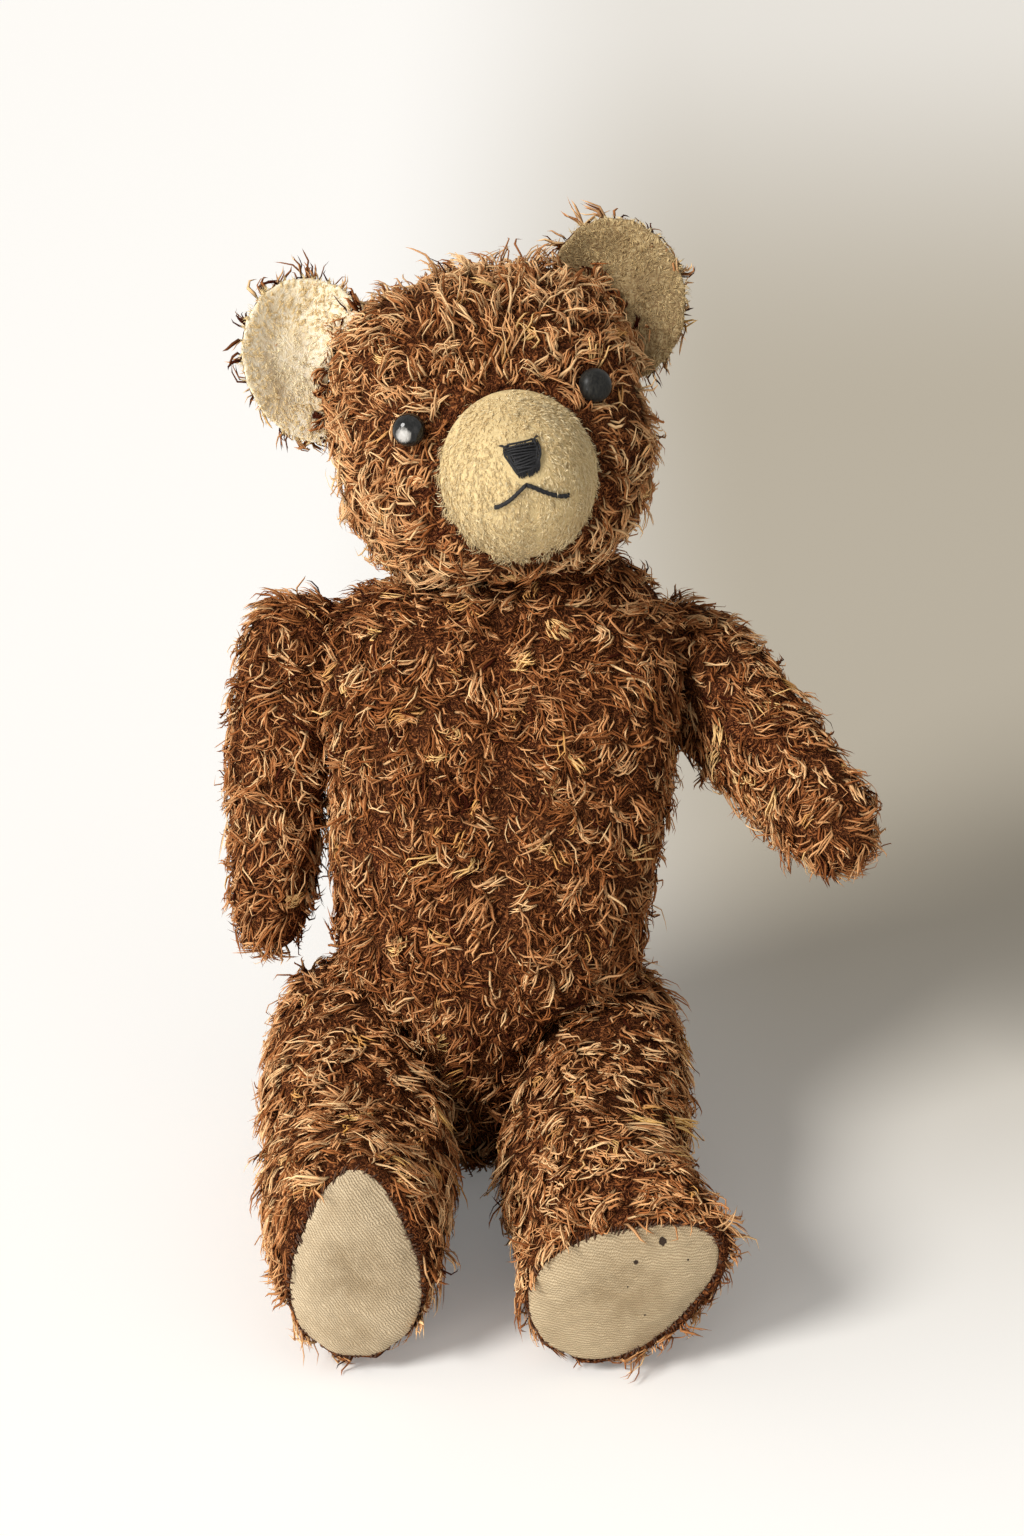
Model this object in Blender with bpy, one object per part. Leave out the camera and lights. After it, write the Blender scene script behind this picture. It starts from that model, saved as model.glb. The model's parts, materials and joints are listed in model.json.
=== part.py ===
"""A disc-jointed teddy bear, seated: sewn covers, stuffing, and the hardware of its five joints.

The numbers below are millimetres, and add_mesh scales them to metres. The bear faces -Y, its own left
is +X, and the origin is the middle of the flat that it sits on.
"""
import math
from dataclasses import dataclass

import bmesh
import bpy
from mathutils import Matrix, Vector
from mathutils.bvhtree import BVHTree

MM = 0.001

# Fabric, stuffing and clearances
CLOTH = 2.0
GAP = 0.3
SEAT_RELIEF = 0.07
DISC_CLEAR = 1.2
SLIVER = 0.004

# Joint hardware, listed along a joint's axis
DISC_THICK = 2.5
WASHER_THICK = 0.8
WASHER_R = 7.0
WASHER_HOLE_R = 2.3
DISC_HOLE_R = 2.4
WIRE_R = 0.85
LEG_SPREAD = 1.05
EYE_LOOP_R = 2.5
SCROLL_R = 2.3
POCKET_R = 8.5
POCKET_DEPTH = 9.0

# Neck
NECK = Vector((13.3, 44.9, 174.8))
HEAD_RECLINE = math.radians(18.0)
HEAD_ROLL = math.radians(13.0)
HEAD_YAW = math.radians(8.0)
NECK_TO_HEAD = 43.0
NECK_DISC_R = 18.0

# Shoulders
SHOULDER_RIGHT = Vector((-43.5, 36.0, 149.0))
SHOULDER_LEFT = Vector((55.0, 37.0, 144.0))
SHOULDER_DISC_R = 12.0
ARM_REACH = 92.0
ARM_ROUND_R = 19.0

# Hips
HIP_X = 19.7
HIP_Z = 33.0
HIP_DISC_R = 16.5
THIGH_R = 30.0
CROTCH_CLEAR_R = 40.0
LEG_REACH = 124.0
SOLE_U = 13.0
SOLE_V = 2.2
PAD_U = 18.3
PAD_V = 29.0
PAD_FROM = 113.2
PAD_TO = 150.0
PAD_EGG = 0.18
FOOT_LEFT = (math.radians(62.0), 10.5, 7.5)
FOOT_RIGHT = (0.0, 0.0, 0.0)
LAP_CLEAR = 3.8

# Head furniture, in the head's own frame: x to the bear's left, y to the back, z up
MUZZLE_Z = -14.0
MUZZLE_PANEL_R = 23.0
MUZZLE_FRONT = 90.0
MUZZLE_BACK = 30.0
STITCH_THICK = 1.3
EYE_X = 27.4
EYE_Z = 7.0
EYE_R = 5.3
EYE_HEIGHT = 4.2
EYE_STAND_OFF = 1.3
SHANK_WIRE_R = 0.6
EAR_LEFT = Vector((45.5, 3.0, 28.0))
EAR_RIGHT = Vector((-47.0, 3.0, 31.5))
EAR_HALF_HEIGHT = 25.0
EAR_HALF_WIDTH = 21.0
EAR_LAYER = 2.0
EAR_CUP = 9.0
EAR_SIDES = 16


@dataclass(frozen=True)
class Ring:
    """One cross-section of a soft body.

    along is the station, (u, v) the centre, half_u and half_v the half sizes, power the roundness
    (2 is an ellipse), egg the narrowing toward +v, turn a twist, and tilt_u and tilt_v the slopes.
    """

    along: float
    half_u: float
    half_v: float
    u: float = 0.0
    v: float = 0.0
    power: float = 2.0
    egg: float = 0.0
    turn: float = 0.0
    tilt_u: float = 0.0
    tilt_v: float = 0.0


def clear_scene():
    """Remove every object of the open scene."""
    for item in list(bpy.data.objects):
        bpy.data.objects.remove(item, do_unlink=True)


def make_material(name, colour, roughness, metallic=0.0):
    """Return a Principled material."""
    material = bpy.data.materials.new(name)
    material.use_nodes = True
    shader = material.node_tree.nodes["Principled BSDF"]
    shader.inputs["Base Color"].default_value = (*colour, 1.0)
    shader.inputs["Roughness"].default_value = roughness
    shader.inputs["Metallic"].default_value = metallic
    return material


def frame(origin, u_axis, v_axis, length_axis):
    """Return the matrix whose columns are the three axes at the origin."""
    matrix = Matrix((u_axis, v_axis, length_axis)).transposed().to_4x4()
    matrix.translation = origin
    return matrix


def ring_points(ring, count):
    """Return the ring's points in its own frame."""
    points = []
    for step in range(count):
        angle = 2.0 * math.pi * (step + 0.5) / count
        cosine, sine = math.cos(angle), math.sin(angle)
        bulge = 2.0 / ring.power
        across = math.copysign(abs(cosine) ** bulge, cosine)
        upward = math.copysign(abs(sine) ** bulge, sine)
        u = ring.half_u * across * (1.0 - ring.egg * upward)
        v = ring.half_v * upward
        turned_u = u * math.cos(ring.turn) + v * math.sin(ring.turn)
        turned_v = v * math.cos(ring.turn) - u * math.sin(ring.turn)
        along = ring.along + ring.tilt_u * turned_u + ring.tilt_v * turned_v
        points.append(Vector((ring.u + turned_u, ring.v + turned_v, along)))
    return points


def loft(rings, matrix, inset, segments):
    """Skin the rings into a closed bmesh, moved inward by the inset; the end rings are its poles."""
    mesh = bmesh.new()
    rows = []
    for ring in rings[1:-1]:
        rows.append([mesh.verts.new(matrix @ point) for point in ring_points(ring, segments)])
    for lower, upper in zip(rows, rows[1:]):
        for step in range(segments):
            after = (step + 1) % segments
            mesh.faces.new((lower[step], lower[after], upper[after], upper[step]))
    for ring, row in ((rings[0], rows[0]), (rings[-1], rows[-1])):
        pole = mesh.verts.new(matrix @ Vector((ring.u, ring.v, ring.along)))
        for step in range(segments):
            mesh.faces.new((pole, row[step], row[(step + 1) % segments]))
    bmesh.ops.recalc_face_normals(mesh, faces=mesh.faces)
    mesh.normal_update()
    moves = [(vert, vert.normal.copy()) for vert in mesh.verts]
    for vert, normal in moves:
        vert.co -= normal * inset
    bmesh.ops.triangulate(mesh, faces=mesh.faces)
    return mesh


def add_mesh(name, mesh, material=None):
    """Turn a bmesh in millimetres into an object in metres."""
    bmesh.ops.scale(mesh, vec=(MM, MM, MM), verts=mesh.verts)
    data = bpy.data.meshes.new(name)
    mesh.to_mesh(data)
    mesh.free()
    item = bpy.data.objects.new(name, data)
    bpy.context.collection.objects.link(item)
    if material is not None:
        data.materials.append(material)
    data.shade_smooth()
    data.set_sharp_from_angle(angle=math.radians(50.0))
    return item


def combine(target, tools, operation="DIFFERENCE"):
    """Apply one exact Boolean per tool to the target, and remove the tools."""
    for tool in tools:
        step = target.modifiers.new("cut", "BOOLEAN")
        step.operation = operation
        step.solver = "EXACT"
        step.object = tool
        graph = bpy.context.evaluated_depsgraph_get()
        result = bpy.data.meshes.new_from_object(target.evaluated_get(graph))
        target.modifiers.clear()
        old = target.data
        result.name = old.name
        target.data = result
        bpy.data.meshes.remove(old)
        bpy.data.objects.remove(tool, do_unlink=True)
        clean(result)
    return target


def clean(data):
    """Drop the needle-thin faces that a cut leaves."""
    mesh = bmesh.new()
    mesh.from_mesh(data)
    bmesh.ops.remove_doubles(mesh, verts=mesh.verts, dist=SLIVER * MM)
    bmesh.ops.dissolve_degenerate(mesh, edges=mesh.edges, dist=SLIVER * MM)
    bmesh.ops.triangulate(mesh, faces=mesh.faces)
    mesh.to_mesh(data)
    mesh.free()


def give_material(item, material):
    """Leave the item with this one material."""
    item.data.materials.clear()
    item.data.materials.append(material)
    for face in item.data.polygons:
        face.material_index = 0


def turned(profile, origin, axis, segments=20):
    """Return a closed bmesh turned about an axis from (radius, height) points.

    A profile that begins and ends on the axis is a plain solid, and any other is a ring.
    """
    mesh = bmesh.new()
    matrix = Matrix.Translation(origin) @ axis.to_track_quat("Z", "Y").to_matrix().to_4x4()
    rows = []
    for radius, height in profile:
        if radius == 0.0:
            rows.append([mesh.verts.new(matrix @ Vector((0.0, 0.0, height)))])
            continue
        row = []
        for step in range(segments):
            angle = 2.0 * math.pi * step / segments
            point = Vector((radius * math.cos(angle), radius * math.sin(angle), height))
            row.append(mesh.verts.new(matrix @ point))
        rows.append(row)
    pairs = list(zip(rows, rows[1:]))
    if profile[0][0] > 0.0:
        pairs.append((rows[-1], rows[0]))
    for lower, upper in pairs:
        for step in range(segments):
            after = (step + 1) % segments
            corners = [lower[step % len(lower)], lower[after % len(lower)],
                       upper[after % len(upper)], upper[step % len(upper)]]
            unique = list(dict.fromkeys(corners))
            mesh.faces.new(unique)
    bmesh.ops.recalc_face_normals(mesh, faces=mesh.faces)
    return mesh


def cylinder(origin, axis, radius, start, end, segments=20):
    """Return a bmesh cylinder between two heights on an axis."""
    profile = [(0.0, start), (radius, start), (radius, end), (0.0, end)]
    return turned(profile, origin, axis, segments)


def prism(outline, matrix, start, end):
    """Extrude a closed outline of (u, v) points between two heights of a frame."""
    mesh = bmesh.new()
    lower = [mesh.verts.new(matrix @ Vector((u, v, start))) for u, v in outline]
    upper = [mesh.verts.new(matrix @ Vector((u, v, end))) for u, v in outline]
    mesh.faces.new(lower)
    mesh.faces.new(upper)
    for step in range(len(outline)):
        after = (step + 1) % len(outline)
        mesh.faces.new((lower[step], lower[after], upper[after], upper[step]))
    bmesh.ops.recalc_face_normals(mesh, faces=mesh.faces)
    return mesh


def wire(points, radius, sides=6):
    """Return a closed round bar swept along points, with a steady cross-section."""
    mesh = bmesh.new()
    rows = []
    side = None
    for index, point in enumerate(points):
        before = points[max(index - 1, 0)]
        after = points[min(index + 1, len(points) - 1)]
        heading = (after - before).normalized()
        if side is None:
            side = heading.orthogonal().normalized()
        side = (side - heading * side.dot(heading)).normalized()
        other = heading.cross(side)
        row = []
        for step in range(sides):
            angle = 2.0 * math.pi * step / sides
            row.append(mesh.verts.new(point + radius * (side * math.cos(angle) + other * math.sin(angle))))
        rows.append(row)
    for lower, upper in zip(rows, rows[1:]):
        for step in range(sides):
            after = (step + 1) % sides
            mesh.faces.new((lower[step], lower[after], upper[after], upper[step]))
    mesh.faces.new(rows[0])
    mesh.faces.new(rows[-1])
    bmesh.ops.recalc_face_normals(mesh, faces=mesh.faces)
    return mesh


class Joint:
    """One disc joint: two discs, two washers and a cotter pin on an axis from torso into limb."""

    def __init__(self, name, origin, axis, disc_r):
        self.name = name
        self.origin = Vector(origin)
        self.axis = Vector(axis).normalized()
        self.disc_r = disc_r
        self.half_gap = GAP / 2.0

    def stations(self):
        """Return the heights, from the joint plane, of the cover, disc, washer and pocket faces."""
        cover_inside = self.half_gap + CLOTH
        disc_start = cover_inside + GAP
        disc_end = disc_start + DISC_THICK
        washer_start = disc_end + GAP
        washer_end = washer_start + WASHER_THICK
        return cover_inside, disc_start, disc_end, washer_start, washer_end

    def flat_tool(self, limb_side, depth, radius, reach=60.0):
        """Return the solid that presses a flat on one side, at a depth below the joint plane."""
        sign = 1.0 if limb_side else -1.0
        edge = sign * (self.half_gap + depth)
        low, high = sorted((edge, edge - sign * reach))
        return add_mesh("tool", cylinder(self.origin, self.axis, radius, low, high, 18))

    def pin_hole(self):
        """Return the hole through both covers."""
        return add_mesh("tool", cylinder(self.origin, self.axis, DISC_HOLE_R, -6.0, 6.0, 8))

    def pocket(self, limb_side):
        """Return the stepped hollow that the hardware takes up in the stuffing."""
        sign = 1.0 if limb_side else -1.0
        _, _, disc_end, _, washer_end = self.stations()
        clear_r = self.disc_r + DISC_CLEAR
        profile = [(0.0, 0.0), (clear_r, 0.0), (clear_r, sign * (disc_end + GAP)),
                   (POCKET_R, sign * (disc_end + GAP)), (POCKET_R, sign * (washer_end + POCKET_DEPTH)),
                   (0.0, sign * (washer_end + POCKET_DEPTH))]
        return add_mesh("tool", turned(profile, self.origin, self.axis, 12))

    def disc_seat(self, limb_side):
        """Return the disc's own clearance, which keeps a cover's inside off the disc."""
        sign = 1.0 if limb_side else -1.0
        cover_inside, _, disc_end, _, _ = self.stations()
        low, high = sorted((sign * (cover_inside + SEAT_RELIEF), sign * (disc_end + 3.0 * DISC_THICK)))
        return add_mesh("tool", cylinder(self.origin, self.axis, self.disc_r + DISC_CLEAR, low, high, 12))

    def add_hardware(self, hardboard, steel):
        """Add both discs, both washers and the cotter pin."""
        _, disc_start, disc_end, washer_start, washer_end = self.stations()
        for side, sign in (("outer", 1.0), ("inner", -1.0)):
            disc = [(self.disc_r, sign * disc_start), (self.disc_r, sign * disc_end),
                    (DISC_HOLE_R, sign * disc_end), (DISC_HOLE_R, sign * disc_start)]
            add_mesh(f"{self.name}_disc_{side}", turned(disc, self.origin, self.axis, 16), hardboard)
            washer = [(WASHER_R, sign * washer_start), (WASHER_R, sign * washer_end),
                      (WASHER_HOLE_R, sign * washer_end), (WASHER_HOLE_R, sign * washer_start)]
            add_mesh(f"{self.name}_washer_{side}", turned(washer, self.origin, self.axis, 12), steel)
        add_mesh(f"{self.name}_cotter_pin", wire(self.pin_path(washer_end), WIRE_R), steel)

    def pin_path(self, washer_end):
        """Return the pin's centre line: scroll, leg, eye loop, leg, scroll."""
        side = self.axis.orthogonal().normalized()
        eye_height = washer_end + GAP + WIRE_R + EYE_LOOP_R * 0.9
        scroll_height = -(washer_end + GAP + WIRE_R)
        half = []
        for step in range(6):
            turn = math.radians(200.0 - 40.0 * step)
            half.append((LEG_SPREAD + SCROLL_R - SCROLL_R * math.cos(turn),
                         scroll_height - SCROLL_R * math.sin(turn)))
        half.append((LEG_SPREAD, scroll_height + 2.0))
        half.append((LEG_SPREAD, eye_height - EYE_LOOP_R))
        half.append((EYE_LOOP_R * 0.9, eye_height - EYE_LOOP_R * 0.3))
        half.append((EYE_LOOP_R * 0.8, eye_height + EYE_LOOP_R * 0.65))
        other = [(-out, height) for out, height in reversed(half)]
        path = half + [(0.0, eye_height + EYE_LOOP_R)] + other
        return [self.origin + side * out + self.axis * height for out, height in path]


class SoftBody:
    """A stuffed part: a sewn cover around its stuffing, both skinned from the same rings."""

    def __init__(self, name, rings, matrix, joints, segments):
        self.name = name
        self.rings = rings
        self.matrix = matrix
        self.joints = joints
        self.segments = segments

    def layer(self, inset, extra_tools=()):
        """Return the body at an inset, pressed flat at each joint and trimmed by further tools."""
        item = add_mesh("layer", loft(self.rings, self.matrix, inset, self.segments))
        tools = [joint.flat_tool(limb_side, inset, radius + inset)
                 for joint, limb_side, radius in self.joints if radius > 0.0]
        tools += [tool(inset) for tool in extra_tools]
        return combine(item, tools)

    def cover(self, material, extra_tools=(), openings=()):
        """Add the hollow cover, with its pin holes and any further openings."""
        item = self.layer(0.0, extra_tools)
        combine(item, [self.layer(CLOTH, extra_tools)])
        combine(item, [joint.disc_seat(limb_side) for joint, limb_side, _ in self.joints])
        combine(item, [joint.pin_hole() for joint, _, _ in self.joints])
        combine(item, list(openings))
        item.name = f"{self.name}_cover"
        give_material(item, material)
        return item

    def stuffing(self, material, extra_tools=(), openings=()):
        """Add the stuffing, with a pocket for each joint's hardware."""
        item = self.layer(CLOTH + GAP, extra_tools)
        combine(item, [joint.pocket(limb_side) for joint, limb_side, _ in self.joints])
        combine(item, list(openings))
        item.name = f"{self.name}_stuffing"
        give_material(item, material)
        return item


def head_axes():
    """Return the head's left, back and up directions."""
    turn = (Matrix.Rotation(-HEAD_RECLINE, 3, "X") @ Matrix.Rotation(-HEAD_ROLL, 3, "Y")
            @ Matrix.Rotation(HEAD_YAW, 3, "Z"))
    return turn.col[0].copy(), turn.col[1].copy(), turn.col[2].copy()


HEAD_LEFT, HEAD_BACK, HEAD_UP = head_axes()
HEAD_CENTRE = NECK + HEAD_UP * NECK_TO_HEAD
HEAD_FRAME = frame(HEAD_CENTRE, HEAD_LEFT, HEAD_UP, -HEAD_BACK)
NECK_SLOPE_X = -HEAD_UP.x / HEAD_UP.z
NECK_SLOPE_Y = -HEAD_UP.y / HEAD_UP.z


def torso_rings():
    """Return the torso's level rings, which lean toward the neck's plane near the top."""
    slope_x, slope_y = NECK_SLOPE_X, NECK_SLOPE_Y
    return [
        Ring(-1.5, 0.0, 0.0, 0.0, 1.0),
        Ring(0.0, 12.0, 16.0, 0.0, 1.0),
        Ring(5.0, 16.5, 25.0, 0.0, 2.0),
        Ring(13.0, 19.3, 32.5, 0.0, 3.5, 2.3),
        Ring(27.0, 27.0, 38.5, 1.0, 5.0, 2.1),
        Ring(42.0, 38.5, 41.5, 3.0, 5.5, 2.1),
        Ring(58.0, 44.0, 43.5, 4.0, 6.0, 2.2),
        Ring(75.0, 47.5, 44.5, 4.8, 8.5, 2.3),
        Ring(95.0, 50.0, 45.0, 6.0, 13.5, 2.3, tilt_v=0.15 * slope_y),
        Ring(116.0, 52.0, 44.5, 7.5, 20.0, 2.4, tilt_v=0.3 * slope_y),
        Ring(136.0, 54.5, 43.0, 7.5, 27.5, 2.6, tilt_v=0.45 * slope_y),
        Ring(151.0, 55.0, 40.5, 7.5, 34.0, 2.8, tilt_v=0.6 * slope_y),
        Ring(161.5, 52.5, 36.5, 8.0, 39.0, 2.8, tilt_v=0.7 * slope_y),
        Ring(169.0, 43.5, 30.0, 10.0, 42.5, 2.6, tilt_v=0.8 * slope_y, tilt_u=0.1 * slope_x),
        Ring(173.5, 28.0, 25.0, 13.0, 44.5, 2.1, tilt_v=slope_y, tilt_u=slope_x),
        Ring(177.0, 22.0, 20.0, 13.3, 45.0, 2.0, tilt_v=slope_y, tilt_u=slope_x),
        Ring(177.6, 0.0, 0.0, 13.3, 45.0),
    ]


def head_rings():
    """Return the head's rings, from the muzzle's tip to the back of the head."""
    return [
        Ring(70.5, 0.0, 0.0, 0.0, MUZZLE_Z + 1.0),
        Ring(69.5, 6.5, 6.0, 0.0, MUZZLE_Z + 1.0),
        Ring(66.5, 12.5, 12.0, 0.0, MUZZLE_Z + 0.5),
        Ring(61.5, 18.0, 17.5, 0.0, MUZZLE_Z),
        Ring(54.5, 22.0, 21.5, 0.0, MUZZLE_Z),
        Ring(48.0, 25.5, 25.0, 0.0, MUZZLE_Z + 1.0),
        Ring(42.5, 35.5, 33.5, 0.0, -6.0, 2.2),
        Ring(33.0, 42.0, 41.5, 0.0, -2.5, 2.5),
        Ring(20.0, 46.0, 46.0, 0.0, -0.5, 2.7),
        Ring(5.0, 47.5, 47.0, 0.0, 0.0, 2.8),
        Ring(-10.0, 46.5, 46.5, 0.0, 0.0, 2.7),
        Ring(-24.0, 42.5, 42.5, 0.0, 0.0, 2.5),
        Ring(-35.0, 34.0, 34.5, 0.0, 0.0, 2.3),
        Ring(-42.0, 20.5, 21.5, 0.0, 0.0, 2.0),
        Ring(-44.5, 0.0, 0.0, 0.0, 0.0),
    ]


def arm_rings():
    """Return an arm's rings: u is the way out from the joint plane, v toward its front."""
    return [
        Ring(-ARM_ROUND_R, 0.0, 0.0, 10.0, 0.0),
        Ring(-17.5, 8.0, 8.0, 9.0, 0.0),
        Ring(-12.0, 13.5, 15.0, 10.5, 0.0),
        Ring(0.0, 17.0, 19.5, 11.5, 0.0, 2.3),
        Ring(15.0, 17.5, 20.5, 12.0, 0.5, 2.3),
        Ring(32.0, 16.8, 20.0, 13.3, 1.0, 2.3),
        Ring(50.0, 15.0, 19.0, 14.8, 2.0, 2.2),
        Ring(67.0, 14.0, 18.0, 14.8, 3.5, 2.2),
        Ring(80.0, 12.5, 15.5, 14.6, 5.5, 2.1),
        Ring(88.5, 8.0, 10.0, 14.4, 7.0, 2.0),
        Ring(ARM_REACH, 0.0, 0.0, 13.4, 7.5),
    ]


def leg_rings(foot_turn, foot_out, foot_drop):
    """Return a leg's rings: u is the way out from the joint plane, v toward the toe.

    foot_turn rolls the foot outward, foot_out carries it sideways and foot_drop lowers it.
    """
    lean = -0.16
    rings = [
        Ring(-THIGH_R, 0.0, 0.0, 17.0, 0.0),
        Ring(-27.5, 11.0, 12.0, 15.0, 0.0),
        Ring(-18.5, 19.0, 23.5, 16.0, 0.0),
        Ring(-4.0, 24.0, 29.7, 18.0, 0.0, 2.2),
        Ring(13.0, 25.5, 29.0, 18.8, 0.0, 2.3),
    ]
    shank = [
        (32.0, 26.5, 28.0, 17.8, -0.5, 2.3, 0.0, 0.0, 0.0),
        (50.0, 27.5, 27.0, 15.0, -1.5, 2.2, 0.0, 0.05, 0.0),
        (68.0, 28.0, 26.5, 13.5, -3.0, 2.1, 0.0, 0.2, 0.0),
        (86.0, 27.0, 28.0, 13.5, -1.0, 2.1, 0.0, 0.45, 0.0),
        (102.0, 25.0, 30.0, 13.5, 1.5, 2.0, 0.08, 0.75, 0.3),
        (115.0, 23.0, 33.0, SOLE_U, SOLE_V, 2.0, 0.15, 1.0, 0.8),
        (121.5, 20.8, 31.3, SOLE_U, SOLE_V, 2.0, 0.18, 1.0, 1.0),
        (LEG_REACH, 12.0, 18.0, SOLE_U, SOLE_V, 2.0, 0.18, 1.0, 1.0),
        (LEG_REACH + 0.5, 0.0, 0.0, SOLE_U, SOLE_V, 2.0, 0.0, 1.0, 0.0),
    ]
    for along, half_u, half_v, u, v, power, egg, share, slope in shank:
        rings.append(Ring(along, half_u, half_v, u + foot_out * share, v - foot_drop * share, power, egg,
                          foot_turn * share, 0.0, lean * slope))
    return rings


def make_torso(joints, finishes):
    """Add the torso's cover and stuffing, sitting on a flat and hollowed to clear the thighs."""
    def seat_tool(inset):
        return add_mesh("tool", prism([(-90, -90), (90, -90), (90, 90), (-90, 90)], Matrix(), -20.0, inset))

    def lap_tool(joint, foot):
        def tool(inset):
            swell = LAP_CLEAR + inset
            item = add_mesh("tool", loft(leg_rings(*foot), leg_frame(joint), -swell, 12))
            return combine(item, [joint.flat_tool(True, -GAP - inset, CROTCH_CLEAR_R - swell)])
        return tool

    tools = (seat_tool, lap_tool(joints[3][0], FOOT_LEFT), lap_tool(joints[4][0], FOOT_RIGHT))
    body = SoftBody("torso", torso_rings(), frame(Vector(), Vector((1, 0, 0)), Vector((0, 1, 0)),
                                                  Vector((0, 0, 1))), joints, 16)
    body.cover(finishes["plush"], tools)
    body.stuffing(finishes["wood_wool"], tools)


def disc_outline(radius_u, radius_v, centre=(0.0, 0.0), egg=0.0, turn=0.0, count=18):
    """Return a closed egg-shaped outline."""
    ring = Ring(0.0, radius_u, radius_v, centre[0], centre[1], 2.0, egg, turn)
    return [(point.x, point.y) for point in ring_points(ring, count)]


def eye_seat(side):
    """Return the matrix of an eye: its origin on the cover, its length axis out of the face."""
    shell = loft(head_rings(), HEAD_FRAME, 0.0, 14)
    tree = BVHTree.FromBMesh(shell)
    shell.free()
    forward = -HEAD_BACK
    start = HEAD_FRAME @ Vector((EYE_X * side, EYE_Z, 100.0))
    point, _, _, _ = tree.ray_cast(start, -forward)
    outward = (forward + HEAD_LEFT * 0.3 * side + HEAD_UP * 0.12).normalized()
    across = (HEAD_LEFT - outward * HEAD_LEFT.dot(outward)).normalized()
    return frame(point, across, outward.cross(across), outward)


def make_head(joint, finishes):
    """Add the head: cover, stuffing, muzzle, stitched nose and mouth, eyes and ears."""
    body = SoftBody("head", head_rings(), HEAD_FRAME, [(joint, True, 40.0)], 14)
    panel = disc_outline(MUZZLE_PANEL_R, MUZZLE_PANEL_R, (0.0, MUZZLE_Z + 1.0))
    panel_gap = disc_outline(MUZZLE_PANEL_R + GAP, MUZZLE_PANEL_R + GAP, (0.0, MUZZLE_Z + 1.0))
    muzzle = body.layer(0.0)
    combine(muzzle, [body.layer(CLOTH)])
    combine(muzzle, [add_mesh("tool", prism(panel, HEAD_FRAME, MUZZLE_BACK, MUZZLE_FRONT))], "INTERSECT")
    muzzle.name = "muzzle"
    give_material(muzzle, finishes["cream"])

    seats = {name: eye_seat(side) for name, side in (("left", 1.0), ("right", -1.0))}
    holes = [add_mesh("tool", cylinder(seat.translation, seat.col[2].to_3d(), 1.6, -9.0, 9.0, 8))
             for seat in seats.values()]
    opening = add_mesh("tool", prism(panel_gap, HEAD_FRAME, MUZZLE_BACK, MUZZLE_FRONT))
    body.cover(finishes["plush"], (), [opening] + holes)
    pockets = [add_mesh("tool", cylinder(seat.translation, seat.col[2].to_3d(), 3.6, -17.0, 9.0, 8))
               for seat in seats.values()]
    body.stuffing(finishes["wood_wool"], (), pockets)
    for name, seat in seats.items():
        make_eye(name, seat, finishes)

    for name, outline in (("nose_stitching", nose_outline()), ("mouth_stitching", mouth_outline())):
        skin = body.layer(-GAP - STITCH_THICK)
        combine(skin, [body.layer(-GAP)])
        combine(skin, [add_mesh("tool", prism(outline, HEAD_FRAME, MUZZLE_BACK + 10.0, MUZZLE_FRONT))],
                "INTERSECT")
        skin.name = name
        give_material(skin, finishes["floss"])

    for name, side in (("left", 1.0), ("right", -1.0)):
        for layer, finish, start in (("back", "plush", 0.0), ("lining", "cream", EAR_LAYER + GAP)):
            ear = add_mesh(f"ear_{layer}_{name}", ear_sheet(side, start))
            combine(ear, [body.layer(-GAP)])
            give_material(ear, finishes[finish])


def nose_outline():
    """Return the nose: a block wide at the top and narrowing to the mouth."""
    top, bottom = MUZZLE_Z + 11.2, MUZZLE_Z + 2.0
    return [(-5.6, top - 0.9), (-4.8, top), (4.8, top), (5.6, top - 0.9), (4.0, top - 4.6), (2.4, bottom),
            (-2.4, bottom), (-4.0, top - 4.6)]


def mouth_outline():
    """Return the mouth: two strokes that fall away from a peak, as one bent band."""
    peak, half = MUZZLE_Z - 0.2, 0.75
    upper, lower = [], []
    for step in range(-6, 7):
        share = abs(step) / 6.0
        reach, drop = (12.0, 6.0) if step > 0 else (9.9, 4.5)
        height = peak - drop * math.sin(share * math.pi / 2.0) ** 1.2
        upper.append((math.copysign(reach * share, step) - 1.2, height + half))
        lower.append((math.copysign(reach * share, step) - 1.2, height - half))
    return upper + lower[::-1]


def make_eye(name, seat, finishes):
    """Add one glass eye and the looped wire that it is sewn in by."""
    outward = seat.col[2].to_3d()
    base = seat.translation + outward * EYE_STAND_OFF
    profile = [(0.0, 0.0), (EYE_R * 0.9, 0.0)]
    for step in range(5):
        angle = math.radians(10.0 + 18.0 * step)
        profile.append((EYE_R * math.cos(angle), EYE_HEIGHT * math.sin(angle)))
    profile.append((0.0, EYE_HEIGHT))
    add_mesh(f"eye_{name}", turned(profile, base, outward, 16), finishes["glass"])
    across = seat.col[0].to_3d()
    loop_r, start, centre = 2.0, -GAP, -9.0
    path = [base + outward * start, base + outward * (centre + loop_r + 1.6)]
    for step in range(7):
        angle = math.radians(70.0 - 50.0 * step)
        path.append(base + outward * (centre + loop_r * math.sin(angle)) + across * loop_r * math.cos(angle))
    add_mesh(f"eye_shank_{name}", wire(path, SHANK_WIRE_R), finishes["steel"])


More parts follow.
